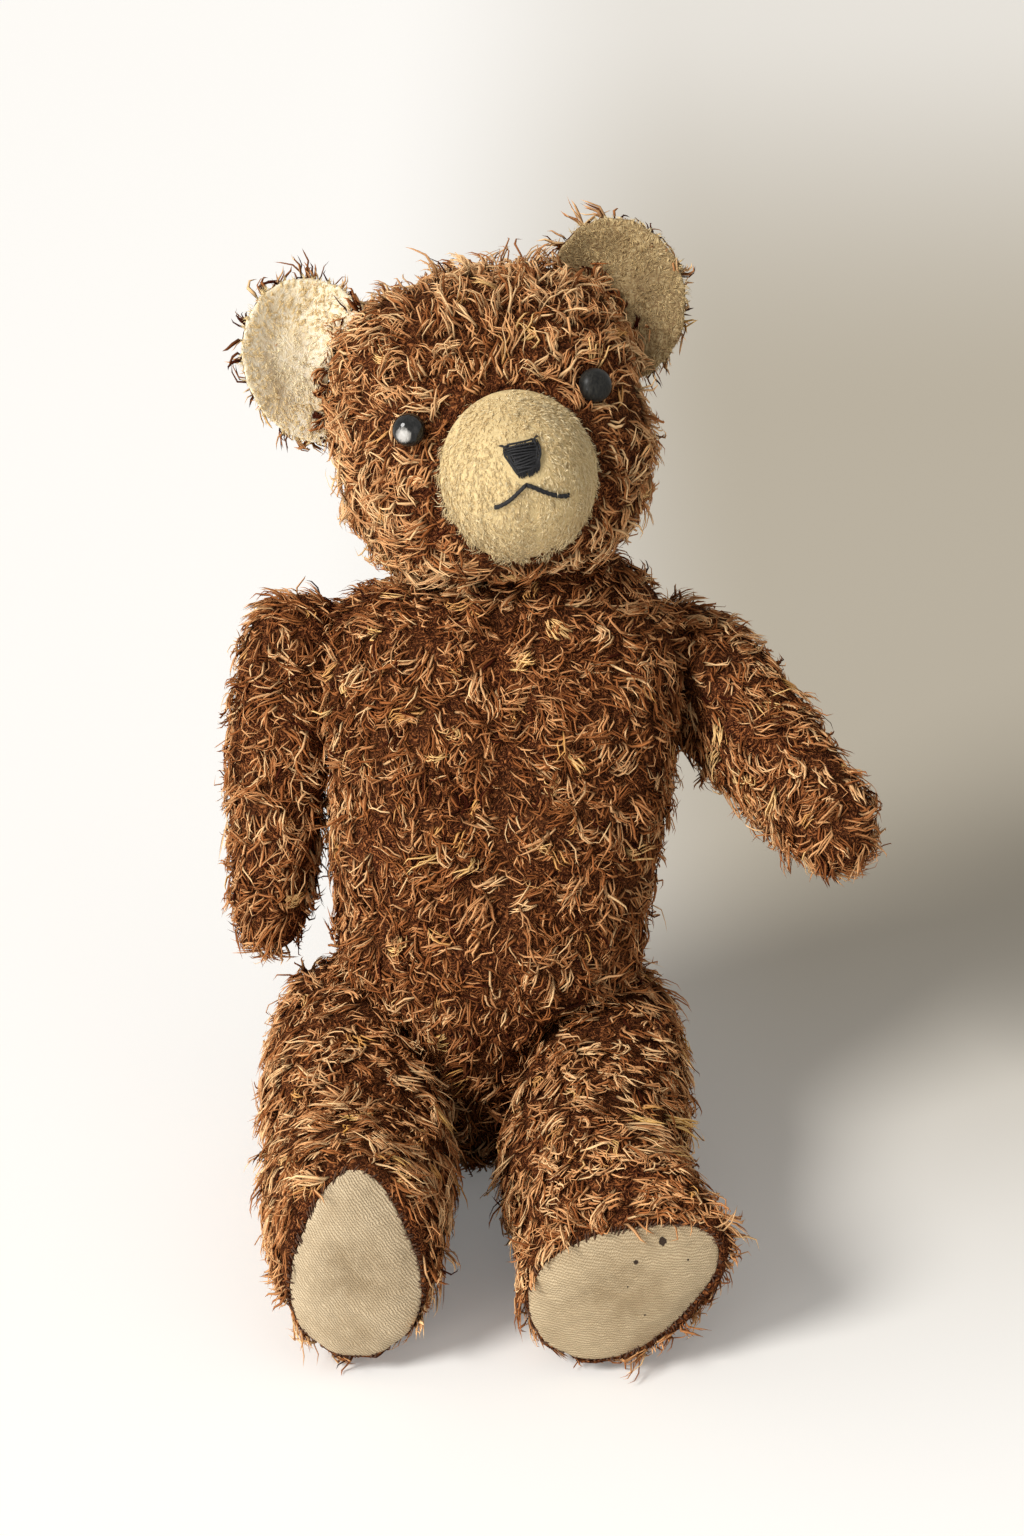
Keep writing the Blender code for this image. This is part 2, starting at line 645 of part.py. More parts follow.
def ear_sheet(side, start):
    """Return one layer of a cupped ear, as a closed bmesh that still runs into the head."""
    turn = HEAD_FRAME.to_3x3()
    across, upward, outward = turn.col[0] * side, turn.col[1].copy(), turn.col[2].copy()
    place = EAR_LEFT if side > 0.0 else EAR_RIGHT
    centre = HEAD_FRAME @ Vector((place.x, place.z, -place.y))
    slant = math.radians(-6.0)
    wide = across * math.cos(slant) + upward * math.sin(slant)
    tall = upward * math.cos(slant) - across * math.sin(slant)
    mesh = bmesh.new()
    sheets = []
    for layer in (start, start + EAR_LAYER):
        rows = [[mesh.verts.new(centre + outward * layer)]]
        for share in (0.55, 1.0):
            row = []
            for step in range(EAR_SIDES):
                angle = 2.0 * math.pi * step / EAR_SIDES
                height = layer + EAR_CUP * share ** 2 * (0.45 + 0.55 * math.cos(angle) ** 2)
                row.append(mesh.verts.new(centre + wide * (EAR_HALF_WIDTH * share * math.cos(angle))
                                          + tall * (EAR_HALF_HEIGHT * share * math.sin(angle))
                                          + outward * height))
            rows.append(row)
        for inner, outer in zip(rows, rows[1:]):
            for step in range(EAR_SIDES):
                after = (step + 1) % EAR_SIDES
                corners = [inner[step % len(inner)], outer[step], outer[after], inner[after % len(inner)]]
                mesh.faces.new(list(dict.fromkeys(corners)))
        sheets.append(rows)
    for step in range(EAR_SIDES):
        after = (step + 1) % EAR_SIDES
        mesh.faces.new((sheets[0][-1][step], sheets[0][-1][after], sheets[1][-1][after], sheets[1][-1][step]))
    bmesh.ops.recalc_face_normals(mesh, faces=mesh.faces)
    bmesh.ops.triangulate(mesh, faces=mesh.faces)
    return mesh


def limb_frame(origin, outward, direction, front):
    """Return a limb's frame: u out from the joint plane, v to its front, length along the limb."""
    u_axis = Vector(outward).normalized()
    length = Vector(direction)
    length = (length - u_axis * length.dot(u_axis)).normalized()
    v_axis = length.cross(u_axis)
    if v_axis.dot(Vector(front)) < 0.0:
        v_axis = -v_axis
    return frame(Vector(origin), u_axis, v_axis, length)


def make_arm(name, joint, direction, front, finishes):
    """Add one arm."""
    matrix = limb_frame(joint.origin, joint.axis, direction, front)
    body = SoftBody(f"arm_{name}", arm_rings(), matrix, [(joint, True, 150.0)], 10)
    body.cover(finishes["plush"])
    body.stuffing(finishes["wood_wool"])


def leg_frame(joint):
    """Return the frame of a leg that points straight forward."""
    return limb_frame(joint.origin, joint.axis, Vector((0, -1, 0)), Vector((0, 0, 1)))


def make_leg(name, joint, foot, finishes):
    """Add one leg, with its woven foot pad let into the sole."""
    matrix = leg_frame(joint)
    body = SoftBody(f"leg_{name}", leg_rings(*foot), matrix, [(joint, True, CROTCH_CLEAR_R)], 12)
    foot_turn, foot_out, foot_drop = foot
    sole = (SOLE_U + foot_out, SOLE_V - foot_drop)
    pad_tool = prism(disc_outline(PAD_U, PAD_V, sole, PAD_EGG, foot_turn),
                     matrix, PAD_FROM, PAD_TO)
    pad = body.layer(0.0)
    combine(pad, [body.layer(CLOTH)])
    combine(pad, [add_mesh("tool", pad_tool)], "INTERSECT")
    pad.name = f"foot_pad_{name}"
    give_material(pad, finishes["linen"])
    hole = prism(disc_outline(PAD_U + GAP, PAD_V + GAP, sole, PAD_EGG, foot_turn),
                     matrix, PAD_FROM, PAD_TO)
    body.cover(finishes["plush"], (), [add_mesh("tool", hole)])
    body.stuffing(finishes["wood_wool"])


def main():
    """Build the bear."""
    clear_scene()
    finishes = {
        "plush": make_material("brown_plush", (0.22, 0.11, 0.05), 0.95),
        "cream": make_material("cream_plush", (0.72, 0.56, 0.33), 0.92),
        "linen": make_material("linen", (0.66, 0.55, 0.40), 0.9),
        "floss": make_material("black_floss", (0.012, 0.012, 0.014), 0.6),
        "glass": make_material("black_glass", (0.008, 0.008, 0.01), 0.05),
        "wood_wool": make_material("wood_wool", (0.62, 0.48, 0.27), 0.95),
        "hardboard": make_material("hardboard", (0.30, 0.19, 0.10), 0.85),
        "steel": make_material("steel", (0.45, 0.44, 0.42), 0.4, 1.0),
    }
    neck = Joint("neck", NECK, HEAD_UP, NECK_DISC_R)
    shoulder_left = Joint("shoulder_left", SHOULDER_LEFT, (0.86, 0.51, 0.03), SHOULDER_DISC_R)
    shoulder_right = Joint("shoulder_right", SHOULDER_RIGHT, (-0.995, 0.0, 0.06), SHOULDER_DISC_R)
    hip_left = Joint("hip_left", (HIP_X, 0.0, HIP_Z), (1, 0, 0), HIP_DISC_R)
    hip_right = Joint("hip_right", (-HIP_X, 0.0, HIP_Z), (-1, 0, 0), HIP_DISC_R)
    torso_joints = [(neck, False, 32.0), (shoulder_left, False, 60.0), (shoulder_right, False, 60.0),
                    (hip_left, False, 0.0), (hip_right, False, 0.0)]
    make_torso(torso_joints, finishes)
    make_head(neck, finishes)
    make_arm("right", shoulder_right, Vector((-0.06, -0.26, -0.96)), Vector((0, -1, 0)), finishes)
    make_arm("left", shoulder_left, Vector((0.475, -0.785, -0.40)), Vector((0, 0, 1)), finishes)
    make_leg("right", hip_right, FOOT_RIGHT, finishes)
    make_leg("left", hip_left, FOOT_LEFT, finishes)
    for joint in (neck, shoulder_left, shoulder_right, hip_left, hip_right):
        joint.add_hardware(finishes["hardboard"], finishes["steel"])


main()
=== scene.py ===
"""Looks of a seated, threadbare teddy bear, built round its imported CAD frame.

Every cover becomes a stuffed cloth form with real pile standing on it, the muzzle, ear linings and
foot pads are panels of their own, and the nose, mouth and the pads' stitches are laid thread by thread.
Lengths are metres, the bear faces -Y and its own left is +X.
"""
import json
import logging
import math
from dataclasses import dataclass, field, replace
from enum import Enum
from typing import Callable, Optional, Sequence

import bmesh
import bpy
import numpy as np
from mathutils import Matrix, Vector, noise
from mathutils.bvhtree import BVHTree
from mathutils.kdtree import KDTree


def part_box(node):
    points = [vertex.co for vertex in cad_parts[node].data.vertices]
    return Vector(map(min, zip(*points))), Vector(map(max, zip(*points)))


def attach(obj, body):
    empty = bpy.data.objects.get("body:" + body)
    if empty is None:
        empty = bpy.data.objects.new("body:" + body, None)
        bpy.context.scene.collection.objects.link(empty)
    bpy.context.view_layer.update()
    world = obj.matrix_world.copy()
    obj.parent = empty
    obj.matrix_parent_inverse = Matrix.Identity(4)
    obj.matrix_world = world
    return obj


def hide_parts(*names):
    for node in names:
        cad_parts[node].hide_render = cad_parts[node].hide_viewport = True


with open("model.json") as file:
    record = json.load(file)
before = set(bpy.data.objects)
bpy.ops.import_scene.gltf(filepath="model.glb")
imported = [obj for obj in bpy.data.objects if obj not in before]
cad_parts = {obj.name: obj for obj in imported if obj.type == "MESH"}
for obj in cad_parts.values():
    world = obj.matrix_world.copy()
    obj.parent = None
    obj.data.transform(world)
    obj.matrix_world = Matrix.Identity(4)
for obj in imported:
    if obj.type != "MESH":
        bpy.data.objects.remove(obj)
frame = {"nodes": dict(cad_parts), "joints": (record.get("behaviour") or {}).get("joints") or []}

LOG = logging.getLogger("bear")
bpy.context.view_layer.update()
MM = 0.001
FLAT_CUT = "flat_cut"

# How near its stuffing a cover's inner side lies, and how far round a joint the cloth is held.
CLOTH_REACH = 1.3 * MM
DISC_REACH = 34.0 * MM
LAP_REACH = 46.0 * MM
# The cloth simulation of the stuffing.
STUFFING_PRESSURE = 4.0
SWELL_FRAMES = 20
# The tones that strands take, from 0 to 1, and the measures that all piles share.
MOST_TONE = 0.84
GOLDEN_TONE = 0.93
LEAST_TUFT_TONE = 0.35
CURL_STEPS = 51
ROOT_DEPTH = 0.6 * MM
SHORTEST = 0.8 * MM
# The roundness of laid threads, and the share of their radius at their two ends.
THREAD_ROUNDNESS = 1
THREAD_END = 0.55

Piece, Mesh, Surface = bpy.types.Object, bpy.types.Mesh, bmesh.types.BMesh
Material, Tree, Node, Socket = (bpy.types.Material, bpy.types.NodeTree, bpy.types.Node,
                                bpy.types.NodeSocket)
Rows = np.ndarray
Colour = tuple[float, float, float]
Field = Callable[[Rows], Rows]


class Pile(Enum):
    """A kind of pile: the stations along its strands, and the share of the girth at each."""

    SHAGGY = ((0.0, 0.0), (0.22, 1.0), (0.5, 1.0), (0.78, 0.7), (1.0, 0.0))
    UNDER = ((0.0, 0.0), (0.32, 1.0), (0.7, 0.8), (1.0, 0.0))
    SHORN = ((0.0, 0.0), (0.45, 1.0), (1.0, 0.0))


class Side(Enum):
    """A side of the bear, with its sign along +X."""

    LEFT = 1
    RIGHT = -1

    @property
    def word(self) -> str:
        """Return the side's name as the CAD nodes write it."""
        return self.name.lower()


# ---------------------------------------------------------------- vectors and meshes


def unit(rows: Rows) -> Rows:
    """Return rows scaled to length one.

    Args:
        rows: Vectors, one to a row.

    Returns:
        The unit vectors.
    """
    return rows / np.maximum(np.linalg.norm(rows, axis=-1, keepdims=True), 1e-12)


def level(rows: Rows, normals: Rows) -> Rows:
    """Return rows without their parts along the unit normals."""
    return rows - normals * (rows * normals).sum(-1, keepdims=True)


def flattened(rows: Rows, normals: Rows) -> Rows:
    """Return rows laid into the planes of the normals, at length one."""
    return unit(level(rows, normals))


def billow(points: Rows, scale: float, seed: float) -> Rows:
    """Return smooth noise from -1 to 1 at each point.

    Args:
        points: Places, one to a row.
        scale: Size of one swell of the noise.
        seed: Shifts the pattern.

    Returns:
        One number for each point.
    """
    shift = Vector((seed * 3.17, seed * 1.71, -seed * 2.43))
    return np.array([noise.noise(Vector(p) / scale + shift) for p in points])


def ease(values: Rows, start: float, span: float) -> Rows:
    """Return 0 up to start and 1 from a span past it, straight between; a negative span falls."""
    return np.clip((values - start) / span, 0.0, 1.0)


def bell(values: Rows, width: float) -> Rows:
    """Return 1 at zero, falling smoothly to 0 on both sides of it."""
    return np.exp(-(values / width) ** 2)


def read_rows(items: bpy.types.bpy_prop_collection, label: str, width: int, kind: type) -> Rows:
    """Return one property of all the items, a row to each."""
    found = np.empty(len(items) * width, kind)
    items.foreach_get(label, found)
    return found.reshape(-1, width)


def coordinates(mesh: Mesh) -> Rows:
    """Return the mesh's vertex places as rows."""
    return read_rows(mesh.vertices, "co", 3, np.float32).astype(float)


def vertex_normals(mesh: Mesh) -> Rows:
    """Return the mesh's vertex normals as rows."""
    return read_rows(mesh.vertex_normals, "vector", 3, np.float32).astype(float)


def move_vertices(mesh: Mesh, places: Rows) -> None:
    """Put the mesh's vertices at the given rows."""
    mesh.vertices.foreach_set("co", places.astype(np.float32).ravel())
    mesh.update()


def draw_in(mesh: Mesh, depths: Rows) -> None:
    """Move each vertex inward by its depth, against its normal."""
    move_vertices(mesh, coordinates(mesh) - vertex_normals(mesh) * depths[:, None])


def triangles_of(mesh: Mesh) -> Rows:
    """Return the vertex numbers of the mesh's triangles."""
    mesh.calc_loop_triangles()
    return read_rows(mesh.loop_triangles, "vertices", 3, np.int32)


def write_map(mesh: Mesh, name: str, flat: Rows) -> None:
    """Give the mesh a UV map from one flat place for each vertex."""
    corners = read_rows(mesh.loops, "vertex_index", 1, np.int32)[:, 0]
    mesh.uv_layers.new(name=name).uv.foreach_set("vector", flat[corners].astype(np.float32).ravel())


def cloth_area(mesh: Mesh) -> float:
    """Return the mesh's area in square metres."""
    return sum(face.area for face in mesh.polygons)


def make_object(name: str, mesh: Mesh, material: Optional[Material] = None) -> Piece:
    """Link a new object that wears one material.

    Args:
        name: The piece's name.
        mesh: Its mesh, already in place.
        material: Its finish.

    Returns:
        The object.
    """
    piece = bpy.data.objects.new(name, mesh)
    bpy.context.scene.collection.objects.link(piece)
    if material is not None:
        mesh.materials.clear()
        mesh.materials.append(material)
    mesh.shade_smooth()
    return piece


def settle_in(piece: Piece, body: str, node: str = "") -> None:
    """Attach a finished piece to its body, and hide the CAD node that it stands for.

    Args:
        piece: The piece.
        body: The CAD body that it moves with.
        node: The CAD node that it stands for, if any.
    """
    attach(piece, body)
    if node:
        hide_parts(node)


def select_only(piece: Piece) -> None:
    """Make the piece the one selected, active object."""
    bpy.ops.object.select_all(action="DESELECT")
    piece.select_set(True)
    bpy.context.view_layer.objects.active = piece


def mesh_from(name: str, rows: Rows, faces: Rows, loops: Sequence[int]) -> Mesh:
    """Return a mesh from flat arrays.

    Args:
        name: The mesh's name.
        rows: Vertex places.
        faces: Vertex numbers of all faces, one after another.
        loops: How many corners each face has.

    Returns:
        The mesh.
    """
    mesh = bpy.data.meshes.new(name)
    counts = np.asarray(loops, np.int32)
    mesh.vertices.add(len(rows))
    mesh.vertices.foreach_set("co", rows.astype(np.float32).ravel())
    mesh.loops.add(len(faces))
    mesh.loops.foreach_set("vertex_index", np.asarray(faces, np.int32))
    mesh.polygons.add(len(counts))
    starts = np.concatenate([[0], np.cumsum(counts)[:-1]]).astype(np.int32)
    mesh.polygons.foreach_set("loop_start", starts)
    mesh.update(calc_edges=True)
    mesh.validate()
    return mesh


def from_bmesh(name: str, mesh: Surface) -> Mesh:
    """Return a new mesh that holds a bmesh, and free the bmesh."""
    data = bpy.data.meshes.new(name)
    mesh.to_mesh(data)
    mesh.free()
    return data


def welded(node: str) -> Surface:
    """Return a CAD node's loose triangles as one joined surface."""
    mesh = bmesh.new()
    mesh.from_mesh(frame["nodes"][node].data)
    bmesh.ops.remove_doubles(mesh, verts=mesh.verts, dist=0.01 * MM)
    return mesh


def tree_of(mesh: Mesh) -> BVHTree:
    """Return a search tree over the mesh's triangles."""
    return BVHTree.FromPolygons([tuple(p) for p in coordinates(mesh)],
                                [tuple(int(i) for i in t) for t in triangles_of(mesh)])


# ---------------------------------------------------------------- node helpers


def link(tree: Tree, source: object, target: Socket) -> None:
    """Join a socket to an input, or set a plain number, vector or colour on the input itself."""
    if isinstance(source, Socket):
        tree.links.new(source, target)
    else:
        target.default_value = (*source[:3], 1.0) if target.type == "RGBA" else source


def give(tree: Tree, node: Node, **values: object) -> Node:
    """Link or set a node's inputs by their names, with _ for a space, and return the node."""
    for label, value in values.items():
        link(tree, value, node.inputs[label.replace("_", " ")])
    return node


def add_node(tree: Tree, kind: str, **settings: object) -> Node:
    """Add a node and set its properties.

    Args:
        tree: The node tree.
        kind: The node's type name.
        **settings: Properties of the node.

    Returns:
        The node.
    """
    node = tree.nodes.new(kind)
    for name, value in settings.items():
        setattr(node, name, value)
    return node


def blank_group(name: str, inputs: Sequence[tuple[str, str, object]],
                outputs: Sequence[tuple[str, str]]) -> Tree:
    """Return a new shader node group with its sockets.

    Args:
        name: The group's name.
        inputs: Name, socket type and default of each input.
        outputs: Name and socket type of each output.

    Returns:
        The group's tree, with its input and output nodes in it.
    """
    tree = bpy.data.node_groups.new(name, "ShaderNodeTree")
    for label, kind, value in inputs:
        socket = tree.interface.new_socket(name=label, in_out="INPUT", socket_type=kind)
        socket.default_value = value
    for label, kind in outputs:
        tree.interface.new_socket(name=label, in_out="OUTPUT", socket_type=kind)
    tree.nodes.new("NodeGroupInput").name = "in"
    tree.nodes.new("NodeGroupOutput").name = "out"
    return tree


def mix_colours(tree: Tree, share: object, first: object, second: object) -> Socket:
    """Mix two colours.

    Args:
        tree: The node tree.
        share: A socket or number from 0 to 1.
        first: A socket or colour.
        second: A socket or colour.

    Returns:
        The mixed colour's socket.
    """
    node = add_node(tree, "ShaderNodeMix", data_type="RGBA")
    for index, value in ((0, share), (6, first), (7, second)):
        link(tree, value, node.inputs[index])
    return node.outputs[2]


def maths(tree: Tree, operation: str, *values: object, clamp: bool = False) -> Socket:
    """Work out one number from others.

    Args:
        tree: The node tree.
        operation: The Math node's operation.
        *values: Sockets or numbers.
        clamp: Whether the result is held between 0 and 1.

    Returns:
        The result's socket.
    """
    node = add_node(tree, "ShaderNodeMath", operation=operation, use_clamp=clamp)
    for socket, value in zip(node.inputs, values):
        link(tree, value, socket)
    return node.outputs[0]


def times(tree: Tree, *values: object, clamp: bool = False) -> Socket:
    """Return the product of two sockets or numbers."""
    return maths(tree, "MULTIPLY", *values, clamp=clamp)


def scaled(tree: Tree, value: object, by: object, plus: object, clamp: bool = False) -> Socket:
    """Return a value multiplied by one socket or number, plus another."""
    return maths(tree, "MULTIPLY_ADD", value, by, plus, clamp=clamp)


def ramp(tree: Tree, value: Socket, stops: Sequence[tuple[float, Colour]]) -> Socket:
    """Turn a number into a colour.

    Args:
        tree: The node tree.
        value: The number's socket.
        stops: Positions and their colours.

    Returns:
        The colour's socket.
    """
    node = add_node(tree, "ShaderNodeValToRGB")
    points = node.color_ramp.elements
    while len(points) < len(stops):
        points.new(0.5)
    for point, (place, colour) in zip(points, stops):
        point.position = place
        point.color = (*colour, 1.0)
    link(tree, value, node.inputs["Fac"])
    return node.outputs["Color"]


def noise_of(tree: Tree, place: Socket, scale: float, detail: float = 3.0,
             roughness: float = 0.55) -> Socket:
    """Return the value of a noise pattern.

    Args:
        tree: The node tree.
        place: The coordinate socket.
        scale: Swells to a metre.
        detail: Octaves.
        roughness: How strong the fine octaves are.

    Returns:
        The noise's socket, from 0 to 1.
    """
    node = give(tree, add_node(tree, "ShaderNodeTexNoise"), Vector=place, Scale=scale, Detail=detail,
                Roughness=roughness)
    return node.outputs["Fac"]


def sine_of(tree: Tree, turns: Socket) -> Socket:
    """Return the sine of an angle given in whole turns."""
    return maths(tree, "SINE", times(tree, turns, 2.0 * math.pi))


def object_place(tree: Tree) -> Socket:
    """Return the Object coordinate socket."""
    return add_node(tree, "ShaderNodeTexCoord").outputs["Object"]


def mapped(tree: Tree, place: Socket, turn: Sequence[float] = (0.0, 0.0, 0.0),
           scale: Sequence[float] = (1.0, 1.0, 1.0)) -> Socket:
    """Return coordinates turned and scaled."""
    node = give(tree, add_node(tree, "ShaderNodeMapping"), Vector=place, Rotation=turn, Scale=scale)
    return node.outputs["Vector"]


def distance(tree: Tree, place: Socket, point: Sequence[float]) -> Socket:
    """Return the distance to a point."""
    node = add_node(tree, "ShaderNodeVectorMath", operation="DISTANCE")
    link(tree, place, node.inputs[0])
    link(tree, point, node.inputs[1])
    return node.outputs["Value"]


def climb(tree: Tree, value: Socket, low: float, high: float, kind: str = "LINEAR") -> Socket:
    """Return a step from 0 at low to 1 at high, straight or smooth by its kind."""
    node = add_node(tree, "ShaderNodeMapRange", interpolation_type=kind)
    return give(tree, node, Value=value, From_Min=low, From_Max=high).outputs["Result"]


def strand_tone_group() -> Tree:
    """Return the group that colours one strand by its own tone and by how far along it one is, with
    painted shade toward its root and a painted highlight toward its tip.
    """
    colours = [(label, "NodeSocketColor", (0, 0, 0, 1))
               for label in ("Dark", "Middle", "Light", "Bright")]
    tree = blank_group("strand_tone", [*colours, ("Root shade", "NodeSocketFloat", 0.5),
                                       ("Tip lift", "NodeSocketFloat", 1.1)],
                       [("Color", "NodeSocketColor")])
    given = tree.nodes["in"].outputs
    tone = add_node(tree, "ShaderNodeAttribute", attribute_name="tone").outputs["Fac"]
    along = add_node(tree, "ShaderNodeAttribute", attribute_name="along").outputs["Fac"]
    shade = mix_colours(tree, climb(tree, tone, 0.05, 0.4), given["Dark"], given["Middle"])
    shade = mix_colours(tree, climb(tree, tone, 0.4, 0.82), shade, given["Light"])
    shade = mix_colours(tree, climb(tree, tone, 0.86, 0.98), shade, given["Bright"])
    # Painted shade: the strand darkens toward its root, where the pile shades itself.
    body = scaled(tree, climb(tree, along, 0.0, 0.4), maths(tree, "SUBTRACT", 1.0, given["Root shade"]),
                  given["Root shade"])
    # Painted highlight: the strand lightens toward its tip.
    lit = scaled(tree, climb(tree, along, 0.55, 1.0), maths(tree, "SUBTRACT", given["Tip lift"], 1.0),
                 body)
    shaded = add_node(tree, "ShaderNodeVectorMath", operation="SCALE")
    link(tree, shade, shaded.inputs[0])
    link(tree, lit, shaded.inputs["Scale"])
    give(tree, tree.nodes["out"], Color=shaded.outputs[0])
    return tree


def grime_group() -> Tree:
    """Return the group that gives uneven handling dirt in soft patches."""
    tree = blank_group("grime", [
        ("Patch size", "NodeSocketFloat", 40.0), ("Amount", "NodeSocketFloat", 0.5)],
        [("Mask", "NodeSocketFloat")])
    given = tree.nodes["in"].outputs
    place = object_place(tree)
    broad = give(tree, add_node(tree, "ShaderNodeTexNoise"), Vector=place, Scale=given["Patch size"],
                 Detail=5.0)
    both = scaled(tree, broad.outputs["Fac"], 0.8, times(tree, noise_of(tree, place, 900.0, 2.0), 0.2))
    give(tree, tree.nodes["out"], Mask=times(tree, climb(tree, both, 0.42, 0.68), given["Amount"]))
    return tree


def weave_group() -> Tree:
    """Return the group that gives a twill, as the height of diagonal ribs over crossing threads."""
    tree = blank_group("weave", [
        ("Vector", "NodeSocketVector", (0, 0, 0)), ("Threads", "NodeSocketFloat", 1500.0)],
        [("Height", "NodeSocketFloat")])
    given = tree.nodes["in"].outputs
    wobble = noise_of(tree, given["Vector"], 240.0, 2.0)
    parts = give(tree, add_node(tree, "ShaderNodeSeparateXYZ"), Vector=given["Vector"])
    runs = [scaled(tree, wobble, 1.3 + 0.6 * row, times(tree, parts.outputs[row], given["Threads"]))
            for row in (0, 1)]
    threads = [maths(tree, "ABSOLUTE", sine_of(tree, run)) for run in runs]
    rib = scaled(tree, sine_of(tree, scaled(tree, runs[0], 0.55, runs[1])), 0.5, 0.5)
    give(tree, tree.nodes["out"],
         Height=scaled(tree, rib, 0.62, times(tree, times(tree, *threads), 0.38)))
    return tree


def lying_fibres_group() -> Tree:
    """Return the group that draws fibres lying in whorls, as a height that is low between them."""
    tree = blank_group("lying_fibres", [
        ("Whorls", "NodeSocketFloat", 120.0), ("Fibres", "NodeSocketFloat", 16.0)],
        [("Height", "NodeSocketFloat")])
    given = tree.nodes["in"].outputs
    place = object_place(tree)
    layers = []
    for turn, size in ((0.0, 1.0), (1.9, 1.7)):
        turned = mapped(tree, place, (turn, 0.6 * turn, 0.3 * turn), (size, size, size))
        whorl = give(tree, add_node(tree, "ShaderNodeTexNoise"), Vector=turned, Scale=given["Whorls"],
                     Detail=2.0, Distortion=0.6)
        wave = sine_of(tree, times(tree, whorl.outputs["Fac"], given["Fibres"]))
        broken = noise_of(tree, turned, 700.0, 3.0, 0.6)
        layers.append(times(tree, scaled(tree, wave, 0.5, 0.5),
                            scaled(tree, broken, 2.6, -0.7, clamp=True)))
    give(tree, tree.nodes["out"], Height=maths(tree, "MAXIMUM", *layers))
    return tree


GROUPS: dict[str, Tree] = {}


def place_group(tree: Tree, name: str, **values: object) -> Node:
    """Place a shared node group and set its inputs.

    Args:
        tree: The material's tree.
        name: The group's name.
        **values: Inputs by name, with _ for a space.

    Returns:
        The group node.
    """
    return give(tree, add_node(tree, "ShaderNodeGroup", node_tree=GROUPS[name]), **values)


@dataclass(frozen=True)
class Finish:
    """A named finish that builds its material once."""

    name: str
    roughness: float = 0.9
    metallic: float = 0.0
    specular: float = 0.3

    def start(self) -> tuple[Material, Tree, Node]:
        """Return a new material, its tree and its Principled shader with the plain values set."""
        material = bpy.data.materials.new(self.name)
        material.use_nodes = True
        tree = material.node_tree
        shader = tree.nodes["Principled BSDF"]
        give(tree, shader, Roughness=self.roughness, Metallic=self.metallic,
             Specular_IOR_Level=self.specular)
        return material, tree, shader

    def bump(self, tree: Tree, shader: Node, height: Socket, depth: float) -> None:
        """Feed a height from 0 to 1 to the shader's normal, with the metres that it spans."""
        node = give(tree, add_node(tree, "ShaderNodeBump"), Height=height, Distance=depth, Strength=1.0)
        give(tree, shader, Normal=node.outputs["Normal"])

    def build(self) -> Material:
        """Return the finish's material."""
        raise NotImplementedError


@dataclass(frozen=True)
class StrandFinish(Finish):
    """Pile fibres, each with a tone of its own, with painted shade at the root and a painted highlight at
    the tip.
    """

    dark: Colour = (0, 0, 0)
    middle: Colour = (0, 0, 0)
    light: Colour = (0, 0, 0)
    bright: Colour = (0, 0, 0)
    # Painted shade at the strand's root and a painted highlight at its tip.
    root_shade: float = 0.45
    tip_lift: float = 1.15

    def build(self) -> Material:
        """Return the material, whose colour follows the strands' own attributes."""
        material, tree, shader = self.start()
        tone = place_group(tree, "strand_tone", Dark=self.dark, Middle=self.middle, Light=self.light,
                           Bright=self.bright, Root_shade=self.root_shade, Tip_lift=self.tip_lift)
        give(tree, shader, Base_Color=tone.outputs["Color"])
        return material


@dataclass(frozen=True)
class BackingFinish(Finish):
    """The woven ground that a pile stands in, rough with broken fibres, darker between them as painted
    shade.
    """

    low: Colour = (0, 0, 0)
    middle: Colour = (0, 0, 0)
    high: Colour = (0, 0, 0)
    soiled: Colour = (0, 0, 0)
    patch: float = 45.0
    amount: float = 0.6
    whorls: float = 120.0
    fibres: float = 15.0
    fibre: float = 1100.0
    depth: float = 0.0006

    def build(self) -> Material:
        """Return the material."""
        material, tree, shader = self.start()
        place = object_place(tree)
        lying = place_group(tree, "lying_fibres", Whorls=self.whorls, Fibres=self.fibres)
        fibre = scaled(tree, noise_of(tree, place, self.fibre, 4.0, 0.65), 0.4,
                       times(tree, lying.outputs["Height"], 0.6))
        # Painted shade: the low parts between the fibres take the darkest colour.
        shade = ramp(tree, fibre, [(0.22, self.low), (0.50, self.middle), (0.78, self.high)])
        grime = place_group(tree, "grime", Patch_size=self.patch, Amount=self.amount)
        give(tree, shader, Base_Color=mix_colours(tree, grime.outputs["Mask"], shade, self.soiled))
        self.bump(tree, shader, fibre, self.depth)
        return material


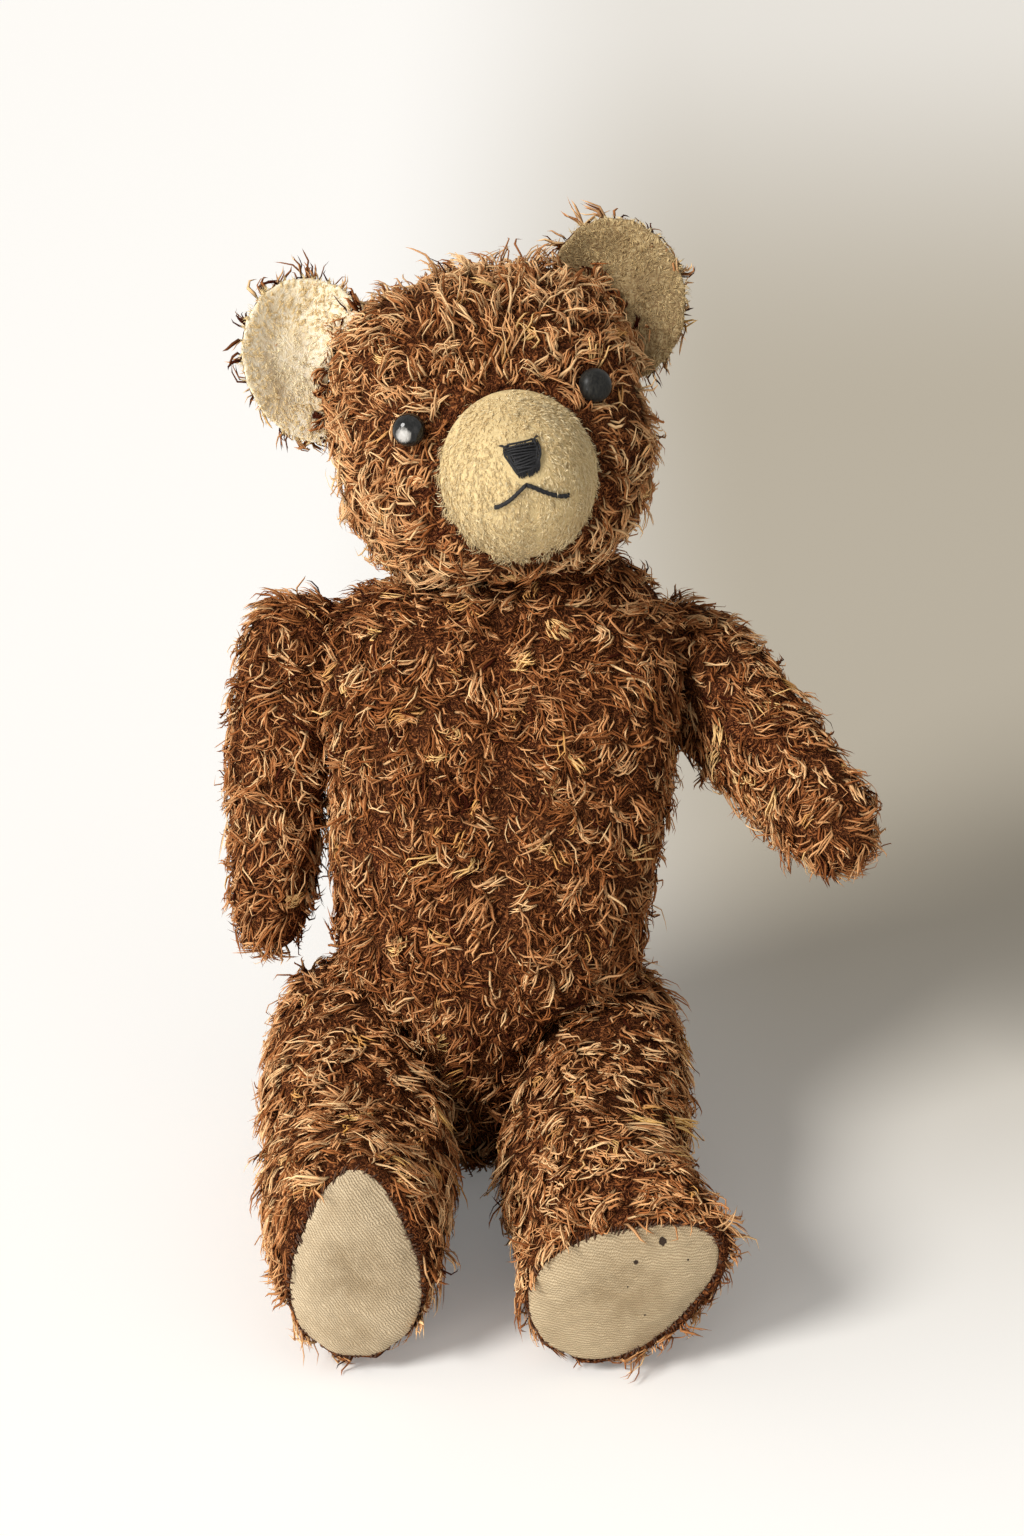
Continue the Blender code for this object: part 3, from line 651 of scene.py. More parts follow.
@dataclass(frozen=True)
class TwillFinish(Finish):
    """Woven cotton twill of the foot pads, with handling dirt, a middle darkened by dirt and painted
    shade, and small worn holes.
    """

    thread: Colour = (0, 0, 0)
    gap: Colour = (0, 0, 0)
    soiled: Colour = (0, 0, 0)
    threads: float = 1500.0
    stain_radius: float = 20.0 * MM
    # The colour seen in the holes: painted shade inside them.
    inside: Colour = (0.035, 0.02, 0.012)
    holes: tuple[tuple[float, float, float], ...] = ()

    def hole_mask(self, tree: Tree, place: Socket) -> object:
        """Return 1 in the worn holes, with frayed edges.

        Args:
            tree: The material's tree.
            place: The flat cut's coordinates.

        Returns:
            The mask's socket, or 0 where there are no holes.
        """
        fray = noise_of(tree, place, 1500.0, 3.0)
        found: object = 0.0
        for across, height, radius in self.holes:
            apart = distance(tree, place, (across * MM, height * MM, 0.0))
            edge = scaled(tree, fray, 1.1 * radius * MM, 0.45 * radius * MM)
            inside = times(tree, maths(tree, "SUBTRACT", edge, apart), 1.0 / (0.18 * MM), clamp=True)
            found = maths(tree, "MAXIMUM", found, inside)
        return found

    def build(self) -> Material:
        """Return the material, whose weave follows the panel's flat cut."""
        material, tree, shader = self.start()
        place = add_node(tree, "ShaderNodeUVMap", uv_map=FLAT_CUT).outputs["UV"]
        weave = place_group(tree, "weave", Vector=place, Threads=self.threads)
        slub = noise_of(tree, place, 420.0, 3.0)
        height = weave.outputs["Height"]
        shade = mix_colours(tree, scaled(tree, height, 1.25, 0.12, clamp=True), self.gap, self.thread)
        shade = mix_colours(tree, times(tree, slub, 0.25), shade, self.gap)
        grime = place_group(tree, "grime", Patch_size=85.0, Amount=0.5)
        # The pad darkens toward its middle in clouds: dirt and painted shade.
        away = distance(tree, place, (0.0, 0.0, 0.0))
        middle = scaled(tree, away, -1.0 / self.stain_radius, 1.0, clamp=True)
        cloud = noise_of(tree, place, 150.0, 4.0, 0.6)
        middle = times(tree, times(tree, middle, 1.5), scaled(tree, cloud, 2.6, -0.6, clamp=True),
                       clamp=True)
        dirt = maths(tree, "MAXIMUM", grime.outputs["Mask"], times(tree, middle, 0.62))
        shade = mix_colours(tree, dirt, shade, self.soiled)
        worn = self.hole_mask(tree, place)
        # The holes take the colour of painted shade.
        give(tree, shader, Base_Color=mix_colours(tree, worn, shade, self.inside))
        slanted = mapped(tree, place, (0.0, 0.0, 0.7), (0.28, 1.0, 1.0))
        crease = noise_of(tree, slanted, 150.0, 2.0, 0.4)
        relief = scaled(tree, crease, 6.0, maths(tree, "SUBTRACT", height, times(tree, worn, 2.0)))
        self.bump(tree, shader, relief, 0.00028)
        return material


@dataclass(frozen=True)
class ThreadFinish(Finish):
    """Spun thread or yarn, with its twist drawn along each stitch."""

    dark: Colour = (0, 0, 0)
    light: Colour = (0, 0, 0)
    fibre: float = 2600.0

    def build(self) -> Material:
        """Return the material."""
        material, tree, shader = self.start()
        twist = noise_of(tree, object_place(tree), self.fibre, 3.0, 0.6)
        give(tree, shader, Base_Color=ramp(tree, twist, [(0.35, self.dark), (0.7, self.light)]))
        self.bump(tree, shader, twist, 0.0002)
        return material


@dataclass(frozen=True)
class GlassFinish(Finish):
    """Black glass of an eye, bright or dulled by scratches, with a pale scratched spot that is a painted
    highlight where one is given.
    """

    tint: Colour = (0.008, 0.008, 0.01)
    haze: Colour = (0.05, 0.05, 0.05)
    clear: float = 0.06
    dull: float = 0.45
    worn: float = 0.2
    chafed: Optional[tuple[float, float, float]] = None
    chafe_radius: float = 2.9 * MM

    def build(self) -> Material:
        """Return the material, with a pale scratched spot where one is given, which paints the eye's
        highlight.
        """
        material, tree, shader = self.start()
        place = object_place(tree)
        slanted = mapped(tree, place, (0.3, 0.9, 0.2), (1.0, 1.0, 0.18))
        lines = noise_of(tree, slanted, 1900.0, 4.0, 0.7)
        cloud = noise_of(tree, place, 330.0, 3.0)
        mask = times(tree, scaled(tree, lines, 1.4, -0.45, clamp=True),
                     scaled(tree, cloud, 1.6, -0.2, clamp=True))
        mask = times(tree, mask, self.worn * 2.0, clamp=True)
        # Painted highlight: a pale spot of scratches, in the haze colour, where the glass would catch the
        # light.
        if self.chafed is not None:
            near = scaled(tree, distance(tree, place, self.chafed), -1.0 / self.chafe_radius, 1.0)
            near = scaled(tree, maths(tree, "ADD", near, times(tree, lines, 0.9)), 2.6, -1.55, clamp=True)
            mask = maths(tree, "MAXIMUM", mask, near)
        give(tree, shader, Base_Color=mix_colours(tree, mask, self.tint, self.haze),
             Roughness=scaled(tree, mask, self.dull - self.clear, self.clear))
        return material


@dataclass(frozen=True)
class GrainFinish(Finish):
    """A streaked or mottled hard or fibrous surface."""

    low: Colour = (0, 0, 0)
    high: Colour = (0, 0, 0)
    scale: float = 300.0
    stretch: tuple[float, float, float] = (1.0, 1.0, 1.0)
    depth: float = 0.0002

    def build(self) -> Material:
        """Return the material."""
        material, tree, shader = self.start()
        place = mapped(tree, object_place(tree), scale=self.stretch)
        grain = noise_of(tree, place, self.scale, 5.0, 0.65)
        give(tree, shader, Base_Color=ramp(tree, grain, [(0.3, self.low), (0.7, self.high)]),
             Roughness=scaled(tree, grain, 0.25, self.roughness - 0.12, clamp=True))
        self.bump(tree, shader, grain, self.depth)
        return material


FINISHES: dict[str, Finish] = {
    "fur": StrandFinish("brown_pile", 0.7, specular=0.03, dark=(0.045, 0.009, 0.004),
                        middle=(0.38, 0.138, 0.043), light=(0.84, 0.55, 0.28),
                        bright=(0.64, 0.36, 0.065), root_shade=0.10, tip_lift=1.35),
    "underfur": StrandFinish("brown_underpile", 0.75, specular=0.03, dark=(0.026, 0.006, 0.003),
                             middle=(0.32, 0.108, 0.033), light=(0.72, 0.38, 0.165),
                             bright=(0.56, 0.29, 0.055), root_shade=0.25, tip_lift=1.3),
    # The brown ground is painted shade under the pile: nearly black, with lighter painted fibres.
    "ground": BackingFinish("brown_ground", 0.95, specular=0.03, low=(0.006, 0.0012, 0.001),
                            middle=(0.085, 0.024, 0.009), high=(0.44, 0.160, 0.052),
                            soiled=(0.05, 0.02, 0.008), fibre=1700.0, amount=0.4, whorls=150.0,
                            fibres=13.0),
    "cream": StrandFinish("cream_pile", 0.8, specular=0.1, dark=(0.27, 0.165, 0.07),
                          middle=(0.75, 0.565, 0.29), light=(0.94, 0.81, 0.53),
                          bright=(0.95, 0.88, 0.66), root_shade=0.92, tip_lift=1.06),
    "pale": StrandFinish("pale_pile", 0.8, specular=0.15, dark=(0.55, 0.34, 0.12),
                         middle=(0.84, 0.64, 0.33), light=(0.94, 0.83, 0.58),
                         bright=(0.96, 0.90, 0.72), root_shade=1.0, tip_lift=1.0),
    "cream_ground": BackingFinish("cream_ground", 0.95, low=(0.62, 0.46, 0.225),
                                  middle=(0.68, 0.52, 0.265), high=(0.74, 0.58, 0.315),
                                  soiled=(0.60, 0.44, 0.21), patch=38.0, amount=0.15, fibre=1900.0,
                                  depth=0.0002),
    "pale_ground": BackingFinish("pale_lining", 0.95, low=(0.80, 0.66, 0.42), middle=(0.91, 0.81, 0.60),
                                 high=(0.96, 0.91, 0.78), soiled=(0.74, 0.55, 0.29), patch=90.0,
                                 amount=0.55, fibre=1900.0, depth=0.0002),
    # The left ear's lining, darkened all over by dirt and painted shade.
    "soiled_shaded_ground": BackingFinish("soiled_lining", 0.95, low=(0.20, 0.12, 0.055),
                                   middle=(0.40, 0.28, 0.13), high=(0.58, 0.45, 0.25),
                                   soiled=(0.16, 0.10, 0.045), patch=60.0, amount=0.6, fibre=1900.0,
                                   depth=0.0003),
    "twill": TwillFinish("pad_twill", 0.92, thread=(0.74, 0.60, 0.40), gap=(0.30, 0.205, 0.11),
                         soiled=(0.27, 0.185, 0.095), threads=1150.0),
    "holed_twill": TwillFinish("holed_twill", 0.92, thread=(0.62, 0.49, 0.31), gap=(0.26, 0.18, 0.095),
                               soiled=(0.27, 0.185, 0.095), threads=1150.0,
                               holes=((7.1, 7.6, 0.7), (16.0, 9.5, 1.1), (20.5, 1.9, 0.35),
                                      (2.1, 1.9, 0.3), (3.0, -8.1, 0.35))),
    "floss": ThreadFinish("black_floss", 0.62, dark=(0.006, 0.006, 0.007), light=(0.024, 0.023, 0.024)),
    "sewing": ThreadFinish("brown_thread", 0.8, dark=(0.03, 0.013, 0.008), light=(0.15, 0.07, 0.035)),
    # The bright eye's pale haze colour paints a highlight in its scratched spot.
    "bright_eye": GlassFinish("bright_eye_glass", 0.05, specular=0.3, tint=(0.002, 0.002, 0.002),
                              haze=(0.50, 0.48, 0.45), clear=0.06, dull=0.3, worn=0.06),
    "dull_eye": GlassFinish("dulled_eye_glass", 0.34, specular=0.15, tint=(0.005, 0.005, 0.005),
                            haze=(0.050, 0.047, 0.039), clear=0.32, dull=0.6, worn=0.8),
    "wood_wool": GrainFinish("wood_wool_shavings", 0.9, low=(0.36, 0.24, 0.11), high=(0.74, 0.58, 0.34),
                             scale=420.0, stretch=(1.0, 0.22, 0.6), depth=0.0012),
    "hardboard": GrainFinish("pressed_fibre", 0.85, low=(0.17, 0.10, 0.05), high=(0.38, 0.25, 0.14),
                             scale=700.0),
    "steel": GrainFinish("dull_steel", 0.45, metallic=1.0, low=(0.30, 0.26, 0.22),
                         high=(0.55, 0.54, 0.52), scale=500.0, depth=0.00005),
}
MATERIALS: dict[str, Material] = {}


def dress(finish: str) -> Material:
    """Return the material of a finish, built the first time it is asked for."""
    if finish not in MATERIALS:
        MATERIALS[finish] = FINISHES[finish].build()
    return MATERIALS[finish]


# ---------------------------------------------------------------- stuffed forms


def joint_places() -> dict[str, tuple[Vector, Vector]]:
    """Return each joint's point and axis."""
    return {row["name"]: (Vector(row["pos_m"]), Vector(row["axis"]).normalized())
            for row in frame["joints"]}


JOINTS = joint_places()


def outer_cloth(node: str, core: str, pins: Sequence[str]) -> Surface:
    """Return the outer side of a cloth node as an open surface.

    Args:
        node: The CAD cover or panel.
        core: The CAD stuffing under it, which the inner side lies against.
        pins: The joints whose pin holes go through it.

    Returns:
        A new bmesh.
    """
    mesh = welded(node)
    stuffing = tree_of(frame["nodes"][core].data)
    inner = []
    for vert in mesh.verts:
        near = stuffing.find_nearest(vert.co)
        if near[3] is not None and near[3] < CLOTH_REACH:
            inner.append(vert)
            continue
        for pin in pins:
            place, axis = JOINTS[pin]
            apart = vert.co - place
            along = apart.dot(axis)
            if abs(along) < 15.0 * MM and (apart - axis * along).length < 3.8 * MM:
                inner.append(vert)
                break
    bmesh.ops.delete(mesh, geom=inner, context="VERTS")
    keep_largest(mesh)
    return mesh


def keep_largest(mesh: Surface) -> None:
    """Delete all but the widest connected sheet of faces."""
    left = set(mesh.faces)
    sheets = []
    while left:
        stack, sheet = [left.pop()], []
        while stack:
            face = stack.pop()
            sheet.append(face)
            for edge in face.edges:
                for other in edge.link_faces:
                    if other in left:
                        left.remove(other)
                        stack.append(other)
        sheets.append(sheet)
    sheets.sort(key=lambda sheet: -sum(face.calc_area() for face in sheet))
    loose = [face for sheet in sheets[1:] for face in sheet]
    bmesh.ops.delete(mesh, geom=loose, context="FACES")
    bmesh.ops.delete(mesh, geom=[v for v in mesh.verts if not v.link_faces], context="VERTS")


def rim_loop(mesh: Surface) -> list[Vector]:
    """Return the longest open rim of a surface, in order."""
    edges = {edge for edge in mesh.edges if edge.is_boundary}
    best: list[Vector] = []
    best_length = 0.0
    while edges:
        edge = edges.pop()
        start, vert = edge.verts
        loop, length = [start.co.copy(), vert.co.copy()], edge.calc_length()
        while vert is not start:
            following = [e for e in vert.link_edges if e in edges]
            if not following:
                break
            edges.discard(following[0])
            length += following[0].calc_length()
            vert = following[0].other_vert(vert)
            loop.append(vert.co.copy())
        if length > best_length:
            best, best_length = loop[:-1], length
    return best


RIM_ANGLES = np.linspace(-math.pi, math.pi, 73)[:-1]


@dataclass
class Panel:
    """A separate panel of cloth let into a cover: its outline in its own plane."""

    centre: Vector
    across: Vector
    upward: Vector
    outward: Vector
    outline: Rows
    depth: float

    @classmethod
    def from_node(cls, node: str, core: str, outward: Vector, upward: Vector) -> "Panel":
        """Return the panel that a CAD node draws.

        Args:
            node: The panel's CAD node.
            core: The stuffing under it.
            outward: Roughly the way that it faces.
            upward: Roughly its top.

        Returns:
            The panel.
        """
        mesh = outer_cloth(node, core, ())
        rim = rim_loop(mesh)
        mesh.free()
        facing = outward.normalized()
        above = (upward - facing * upward.dot(facing)).normalized()
        across = above.cross(facing).normalized()
        centre = sum(rim, Vector()) / len(rim)
        flat = np.array([((p - centre).dot(across), (p - centre).dot(above)) for p in rim])
        angles = np.arctan2(flat[:, 1], flat[:, 0])
        order = np.argsort(angles)
        radii = np.linalg.norm(flat[order], axis=1)
        found = np.interp(RIM_ANGLES, angles[order], radii, period=2.0 * math.pi)
        for _ in range(6):
            found = 0.5 * found + 0.25 * (np.roll(found, 1) + np.roll(found, -1))
        return cls(centre, across, above, facing, found, 9.0 * MM)

    def long_way(self) -> complex:
        """Return the direction of the outline's long axis, as across + i upward, pointing up."""
        found = np.sqrt((self.outline ** 4 * np.exp(2j * RIM_ANGLES)).sum())
        return found / abs(found) * (1.0 if found.imag > 0.0 else -1.0)

    def reshape(self, narrow: float, taper: float, tall: float, axis: complex = 1j) -> None:
        """Change the outline's proportions.

        Args:
            narrow: Scale of its width.
            taper: How much narrower it gets towards its top, and wider towards its foot.
            tall: Scale of its height.
            axis: The way of its height, as across + i upward.
        """
        rim = self.outline * np.exp(1j * RIM_ANGLES) * 1j / axis
        u, v = rim.real, rim.imag * tall
        u = u * (narrow - taper * v / np.abs(v).max())
        rim = (u + 1j * v) * axis / 1j
        order = np.argsort(np.angle(rim))
        self.outline = np.interp(RIM_ANGLES, np.angle(rim)[order], np.abs(rim)[order],
                                 period=2.0 * math.pi)

    def flat(self, points: Rows) -> tuple[Rows, Rows]:
        """Return how far across and how far up from the panel's middle each point lies."""
        apart = points - np.array(self.centre)
        return apart @ np.array(self.across), apart @ np.array(self.upward)

    def radius_at(self, angles: Rows) -> Rows:
        """Return the outline's distance from its middle at the given angles."""
        return np.interp(angles, RIM_ANGLES, self.outline, period=2.0 * math.pi)

    def signed(self, points: Rows) -> Rows:
        """Return how far outside the outline each point lies, negative within it."""
        u, v = self.flat(points)
        away = (points - np.array(self.centre)) @ np.array(self.outward)
        found = np.hypot(u, v) - self.radius_at(np.arctan2(v, u))
        return np.where(away < -self.depth, np.maximum(found, 20.0 * MM), found)

    def rim_point(self, angle: float, grow: float = 0.0) -> Vector:
        """Return a point of the outline in its own plane."""
        rim = float(self.radius_at(angle)) + grow
        return self.centre + self.across * (rim * math.cos(angle)) + self.upward * (rim * math.sin(angle))


def cut_panel(mesh: Surface, panel: Panel) -> list[bmesh.types.BMFace]:
    """Cut the panel's outline into a surface and return the faces within it."""
    mesh.verts.ensure_lookup_table()
    places = np.array([v.co for v in mesh.verts])
    depth = dict(zip(mesh.verts, panel.signed(places)))
    crossing = []
    for edge in list(mesh.edges):
        first, second = edge.verts
        a, b = depth[first], depth[second]
        if a * b < 0.0 and abs(a) + abs(b) < 12.0 * MM:
            _, vert = bmesh.utils.edge_split(edge, first, a / (a - b))
            depth[vert] = 0.0
            crossing.append(vert)
    bmesh.ops.connect_verts(mesh, verts=crossing)
    inside = []
    for face in mesh.faces:
        values = [depth[v] for v in face.verts]
        if min(values) < -1e-9 and max(values) < 0.3 * MM:
            inside.append(face)
    return inside


def remesh(piece: Piece, voxel: float) -> None:
    """Rebuild a piece's mesh with even faces of the given size."""
    select_only(piece)
    piece.data.remesh_voxel_size = voxel
    bpy.ops.object.voxel_remesh()


def stuffed_form(name: str, sheets: Sequence[Surface], voxel: float) -> Piece:
    """Join open outer sheets into one closed, evenly meshed form.

    Args:
        name: The form's name.
        sheets: The cover's outer side and those of the panels let into it.
        voxel: The size of the new mesh's faces.

    Returns:
        The form.
    """
    joined = bmesh.new()
    for sheet in sheets:
        part = from_bmesh("part", sheet)
        joined.from_mesh(part)
        bpy.data.meshes.remove(part)
    rim = [v for v in joined.verts if any(e.is_boundary for e in v.link_edges)]
    bmesh.ops.remove_doubles(joined, verts=rim, dist=0.7 * MM)
    for _ in range(3):
        open_edges = [e for e in joined.edges if e.is_boundary]
        if open_edges:
            bmesh.ops.holes_fill(joined, edges=open_edges, sides=0)
    bmesh.ops.triangulate(joined, faces=joined.faces)
    still_open = sum(e.is_boundary for e in joined.edges)
    form = make_object(name, from_bmesh(name, joined))
    remesh(form, voxel)
    LOG.info("%s: form of %d faces, %d open edges before", name, len(form.data.polygons), still_open)
    return form


def swell(form: Piece, held: Rows, most: float) -> None:
    """Stuff a form by cloth simulation under pressure, and keep the result in its mesh.

    Args:
        form: The closed form.
        held: For each vertex, 1 where it is held still and 0 where it is free.
        most: How far a point may move.
    """
    start = coordinates(form.data)
    slack = start - vertex_normals(form.data) * (1.0 - held)[:, None] * (0.35 * most)
    move_vertices(form.data, slack)
    group = form.vertex_groups.new(name="held")
    for index in np.flatnonzero(held > 0.02):
        group.add([int(index)], float(min(held[index], 1.0)), "REPLACE")
    cloth = form.modifiers.new("Cloth", "CLOTH")
    settings = cloth.settings
    settings.quality = 5
    settings.tension_stiffness = 12.0
    settings.compression_stiffness = 4.0
    settings.bending_stiffness = 0.6
    settings.use_pressure = True
    settings.uniform_pressure_force = STUFFING_PRESSURE
    settings.effector_weights.gravity = 0.0
    settings.vertex_group_mass = group.name
    cloth.point_cache.frame_start = 1
    cloth.point_cache.frame_end = SWELL_FRAMES
    for step in range(1, SWELL_FRAMES + 1):
        bpy.context.scene.frame_set(step)
    blown = form.evaluated_get(bpy.context.evaluated_depsgraph_get())
    moved = coordinates(blown.data)
    form.modifiers.remove(cloth)
    bpy.context.scene.frame_set(1)
    shift = moved - start
    length = np.linalg.norm(shift, axis=1, keepdims=True)
    shift *= np.minimum(1.0, most / np.maximum(length, 1e-9))
    move_vertices(form.data, start + shift)


def modify(piece: Piece, kind: str, **settings: object) -> None:
    """Put a modifier on a piece and apply it.

    Args:
        piece: The piece.
        kind: The modifier's type.
        **settings: Properties of the modifier.
    """
    select_only(piece)
    modifier = piece.modifiers.new(kind, kind)
    for name, value in settings.items():
        setattr(modifier, name, value)
    bpy.ops.object.modifier_apply(modifier=modifier.name)


def refine(piece: Piece) -> None:
    """Subdivide a piece once, smoothly."""
    modify(piece, "SUBSURF", levels=1, render_levels=1)


def make_shell(piece: Piece, thick: float) -> None:
    """Give a sheet its thickness inward."""
    modify(piece, "SOLIDIFY", thickness=thick, offset=-1.0)


# ---------------------------------------------------------------- pile


@dataclass
class Roots:
    """Where strands stand: their places, and the surface's normals there."""

    places: Rows
    normals: Rows


def scatter(mesh: Mesh, count: int, keep: Field, rng: np.random.Generator) -> Roots:
    """Scatter roots evenly over a mesh.

    Args:
        mesh: The surface.
        count: How many to try for.
        keep: Gives each place's chance, from 0 to 1, of keeping a root.
        rng: The seeded source of chance.

    Returns:
        The roots kept.
    """
    places, normals, faces = coordinates(mesh), vertex_normals(mesh), triangles_of(mesh)
    corners = places[faces]
    areas = np.linalg.norm(np.cross(corners[:, 1] - corners[:, 0], corners[:, 2] - corners[:, 0]), axis=1)
    chosen = rng.choice(len(faces), size=count, p=areas / areas.sum())
    a, b = rng.random(count), rng.random(count)
    over = a + b > 1.0
    a[over], b[over] = 1.0 - a[over], 1.0 - b[over]
    weights = np.stack([1.0 - a - b, a, b], 1)[:, :, None]
    found = (corners[chosen] * weights).sum(1)
    facing = unit((normals[faces[chosen]] * weights).sum(1))
    kept = rng.random(count) < keep(found)
    return Roots(found[kept], facing[kept])


@dataclass
class Locks:
    """The locks of a pile: the habit that each one's leading strand sets for the rest."""

    places: Rows
    facing: Rows
    flow: Rows
    length: Rows
    lift: Rows
    curl: Rows
    tone: Rows
    golden: Rows


@dataclass
class Coat:
    """A pile that stands on a cloth: its measures, and the way that it lies."""

    name: str
    finish: str
    count: int
    length: float
    radius: float
    lie: Callable[[Rows, Rows], Rows]
    keep: Field
    trim: Callable[[Rows, Rows], Rows]
    seed: int
    kind: Pile = Pile.SHAGGY
    clump: int = 10
    swirl: float = 1.0
    swirl_size: float = 15.0 * MM
    lift: float = 0.27
    curl: float = 1.75
    tone: float = 0.45
    tone_spread: float = 0.21
    gather: float = 0.7
    wide: float = 1.25
    thick: float = 0.75
    floor: float = 0.35 * MM
    standing: float = 0.03
    upright: float = 0.15
    wave: float = 0.5
    bunch: float = 0.3
    flick: float = 0.1
    golden: float = 1.0
    straying: float = 0.03
    stain: Optional[Field] = None

    def locks(self, places: Rows, facing: Rows, rng: np.random.Generator) -> Locks:
        """Choose how each lock lies, curls, stands and is coloured.

        Args:
            places: The locks' middles.
            facing: The surface's normals there.
            rng: The seeded source of chance.

        Returns:
            The locks.
        """
        count = len(places)
        flow = flattened(self.lie(places, facing), facing)
        sideways = np.cross(facing, flow)
        turn = self.swirl * 1.5 * billow(places, self.swirl_size, self.seed)
        turn += 1.1 * self.swirl * billow(places, self.swirl_size * 0.4, self.seed + 5.0)
        turn += rng.normal(0.0, 0.4, count)
        flow = flow * np.cos(turn)[:, None] + sideways * np.sin(turn)[:, None]
        patch = billow(places, 24.0 * MM, self.seed + 9.0)
        length = self.length * (1.0 + 0.22 * patch + rng.normal(0.0, 0.16, count))
        lift = np.clip(self.lift + 0.13 * rng.normal(0.0, 1.0, count), 0.06, 1.3)
        curl = self.curl * (1.6 * billow(places, 8.0 * MM, self.seed + 13.0)
                            + rng.normal(0.0, 0.7, count))
        tone = self.tone + self.tone_spread * (patch + rng.normal(0.0, 1.0, count))
        tone = np.clip(tone, 0.0, MOST_TONE)
        yellowed = np.clip(billow(places, 17.0 * MM, self.seed + 17.0) - 0.25, 0.0, 1.0)
        golden = rng.random(count) < self.golden * (0.02 + 0.35 * yellowed)
        tone[golden] = GOLDEN_TONE
        tuft = rng.random(count) < self.standing
        lift[tuft] += 0.4 + 0.6 * rng.random(int(tuft.sum()))
        lift += self.upright * ease(facing[:, 2], 0.45, 0.4) * rng.random(count)
        lift = np.minimum(lift, 1.0)
        tone[tuft] = np.maximum(tone[tuft], LEAST_TUFT_TONE)
        return Locks(places, facing, flow, length, lift, curl, tone, golden)

    def grow(self, ground: Mesh) -> Piece:
        """Grow the pile over a surface.

        Args:
            ground: The surface's mesh.

        Returns:
            The pile as one mesh piece of closed, tapering strands.
        """
        rng = np.random.default_rng(self.seed)
        roots = scatter(ground, self.count, self.keep, rng)
        size = len(roots.places)
        leaders = rng.choice(size, size=max(1, size // self.clump), replace=False)
        finder = KDTree(len(leaders))
        for index, leader in enumerate(leaders):
            finder.insert(Vector(roots.places[leader]), index)
        finder.balance()
        clump = np.array([finder.find(Vector(p))[1] for p in roots.places])
        locks = self.locks(roots.places[leaders], roots.normals[leaders], rng)

        stray = rng.random(size) < self.straying
        apart = level(roots.places - locks.places[clump], locks.facing[clump])
        places = roots.places - self.bunch * apart
        normals = unit(roots.normals + locks.facing[clump])
        own = flattened(locks.flow[clump], normals)
        jitter = rng.normal(0.0, 0.1, size) + stray * rng.normal(0.0, 0.6, size)
        beside = np.cross(normals, own)
        own = own * np.cos(jitter)[:, None] + beside * np.sin(jitter)[:, None]
        beside = np.cross(normals, own)
        length = locks.length[clump] * (1.0 + rng.normal(0.0, 0.14, size)) * (1.0 + 0.15 * stray)
        length = np.clip(length, 0.35 * self.length, 1.9 * self.length)
        whole = length.copy()
        length *= self.trim(places, roots.normals)
        lift = np.clip(locks.lift[clump] + rng.normal(0.0, 0.06, size) + 0.3 * stray, 0.04, 1.1)
        curl = (locks.curl[clump] + rng.normal(0.0, 0.14, size)) * np.sqrt(length / whole)
        flick = np.clip(self.flick * (0.3 + rng.normal(0.0, 1.0, len(leaders))), 0.0, 0.5)[clump]
        pull = np.clip(rng.normal(self.gather, 0.12, size), 0.0, 0.95) * (~stray)

        stations, girth = zip(*self.kind.value)
        phase = (rng.random(len(leaders))[clump] + 0.06 * rng.normal(0.0, 1.0, size)) * 2.0 * math.pi
        steps = np.linspace(0.0, 1.0, CURL_STEPS)
        turns = curl[:, None] * steps ** 1.2
        turns += self.wave * (np.sin(2.0 * math.pi * steps + phase[:, None]) - np.sin(phase)[:, None])
        ahead = np.cumsum(np.cos(turns), 1) / len(steps)
        aside = np.cumsum(np.sin(turns), 1) / len(steps)
        flatness = np.clip(1.25 - 0.45 * lift, 0.35, 1.0)
        line = []
        for share in stations:
            at = int(round(share * (len(steps) - 1)))
            arch = 1.35 - share * np.clip(1.25 - 0.4 * lift, 0.4, 1.0)
            rise = lift * share * arch + flick * share ** 3
            point = places + own * (length * (ahead[:, at] - ahead[:, 0]) * flatness)[:, None]
            point += beside * (length * (aside[:, at] - aside[:, 0]) * flatness)[:, None]
            point += normals * (length * rise)[:, None]
            point -= apart * ((1.0 - self.bunch) * pull * share ** 1.3)[:, None]
            line.append(point)
        line[0] = line[0] - normals * ROOT_DEPTH
        path = np.stack(line, 1)
        path[:, :, 2] = np.maximum(path[:, :, 2], self.floor)
        radius = self.radius * np.clip(np.exp(rng.normal(0.0, 0.3, size)), 0.45, 1.9)
        golden = locks.golden[clump]
        tone = locks.tone[clump] + 1.5 * self.tone_spread * rng.normal(0.0, 1.0, size) * (~golden)
        tone = np.where(golden, tone, np.minimum(tone, MOST_TONE))
        # Darken the strands by dirt, and on the left ear's lining by painted shade.
        if self.stain is not None:
            tone = tone * (1.0 - self.stain(roots.places))
        kept = length > SHORTEST
        return self.build(path[kept], normals[kept], girth, radius[kept],
                          np.clip(tone[kept], 0.02, 0.98), stations)

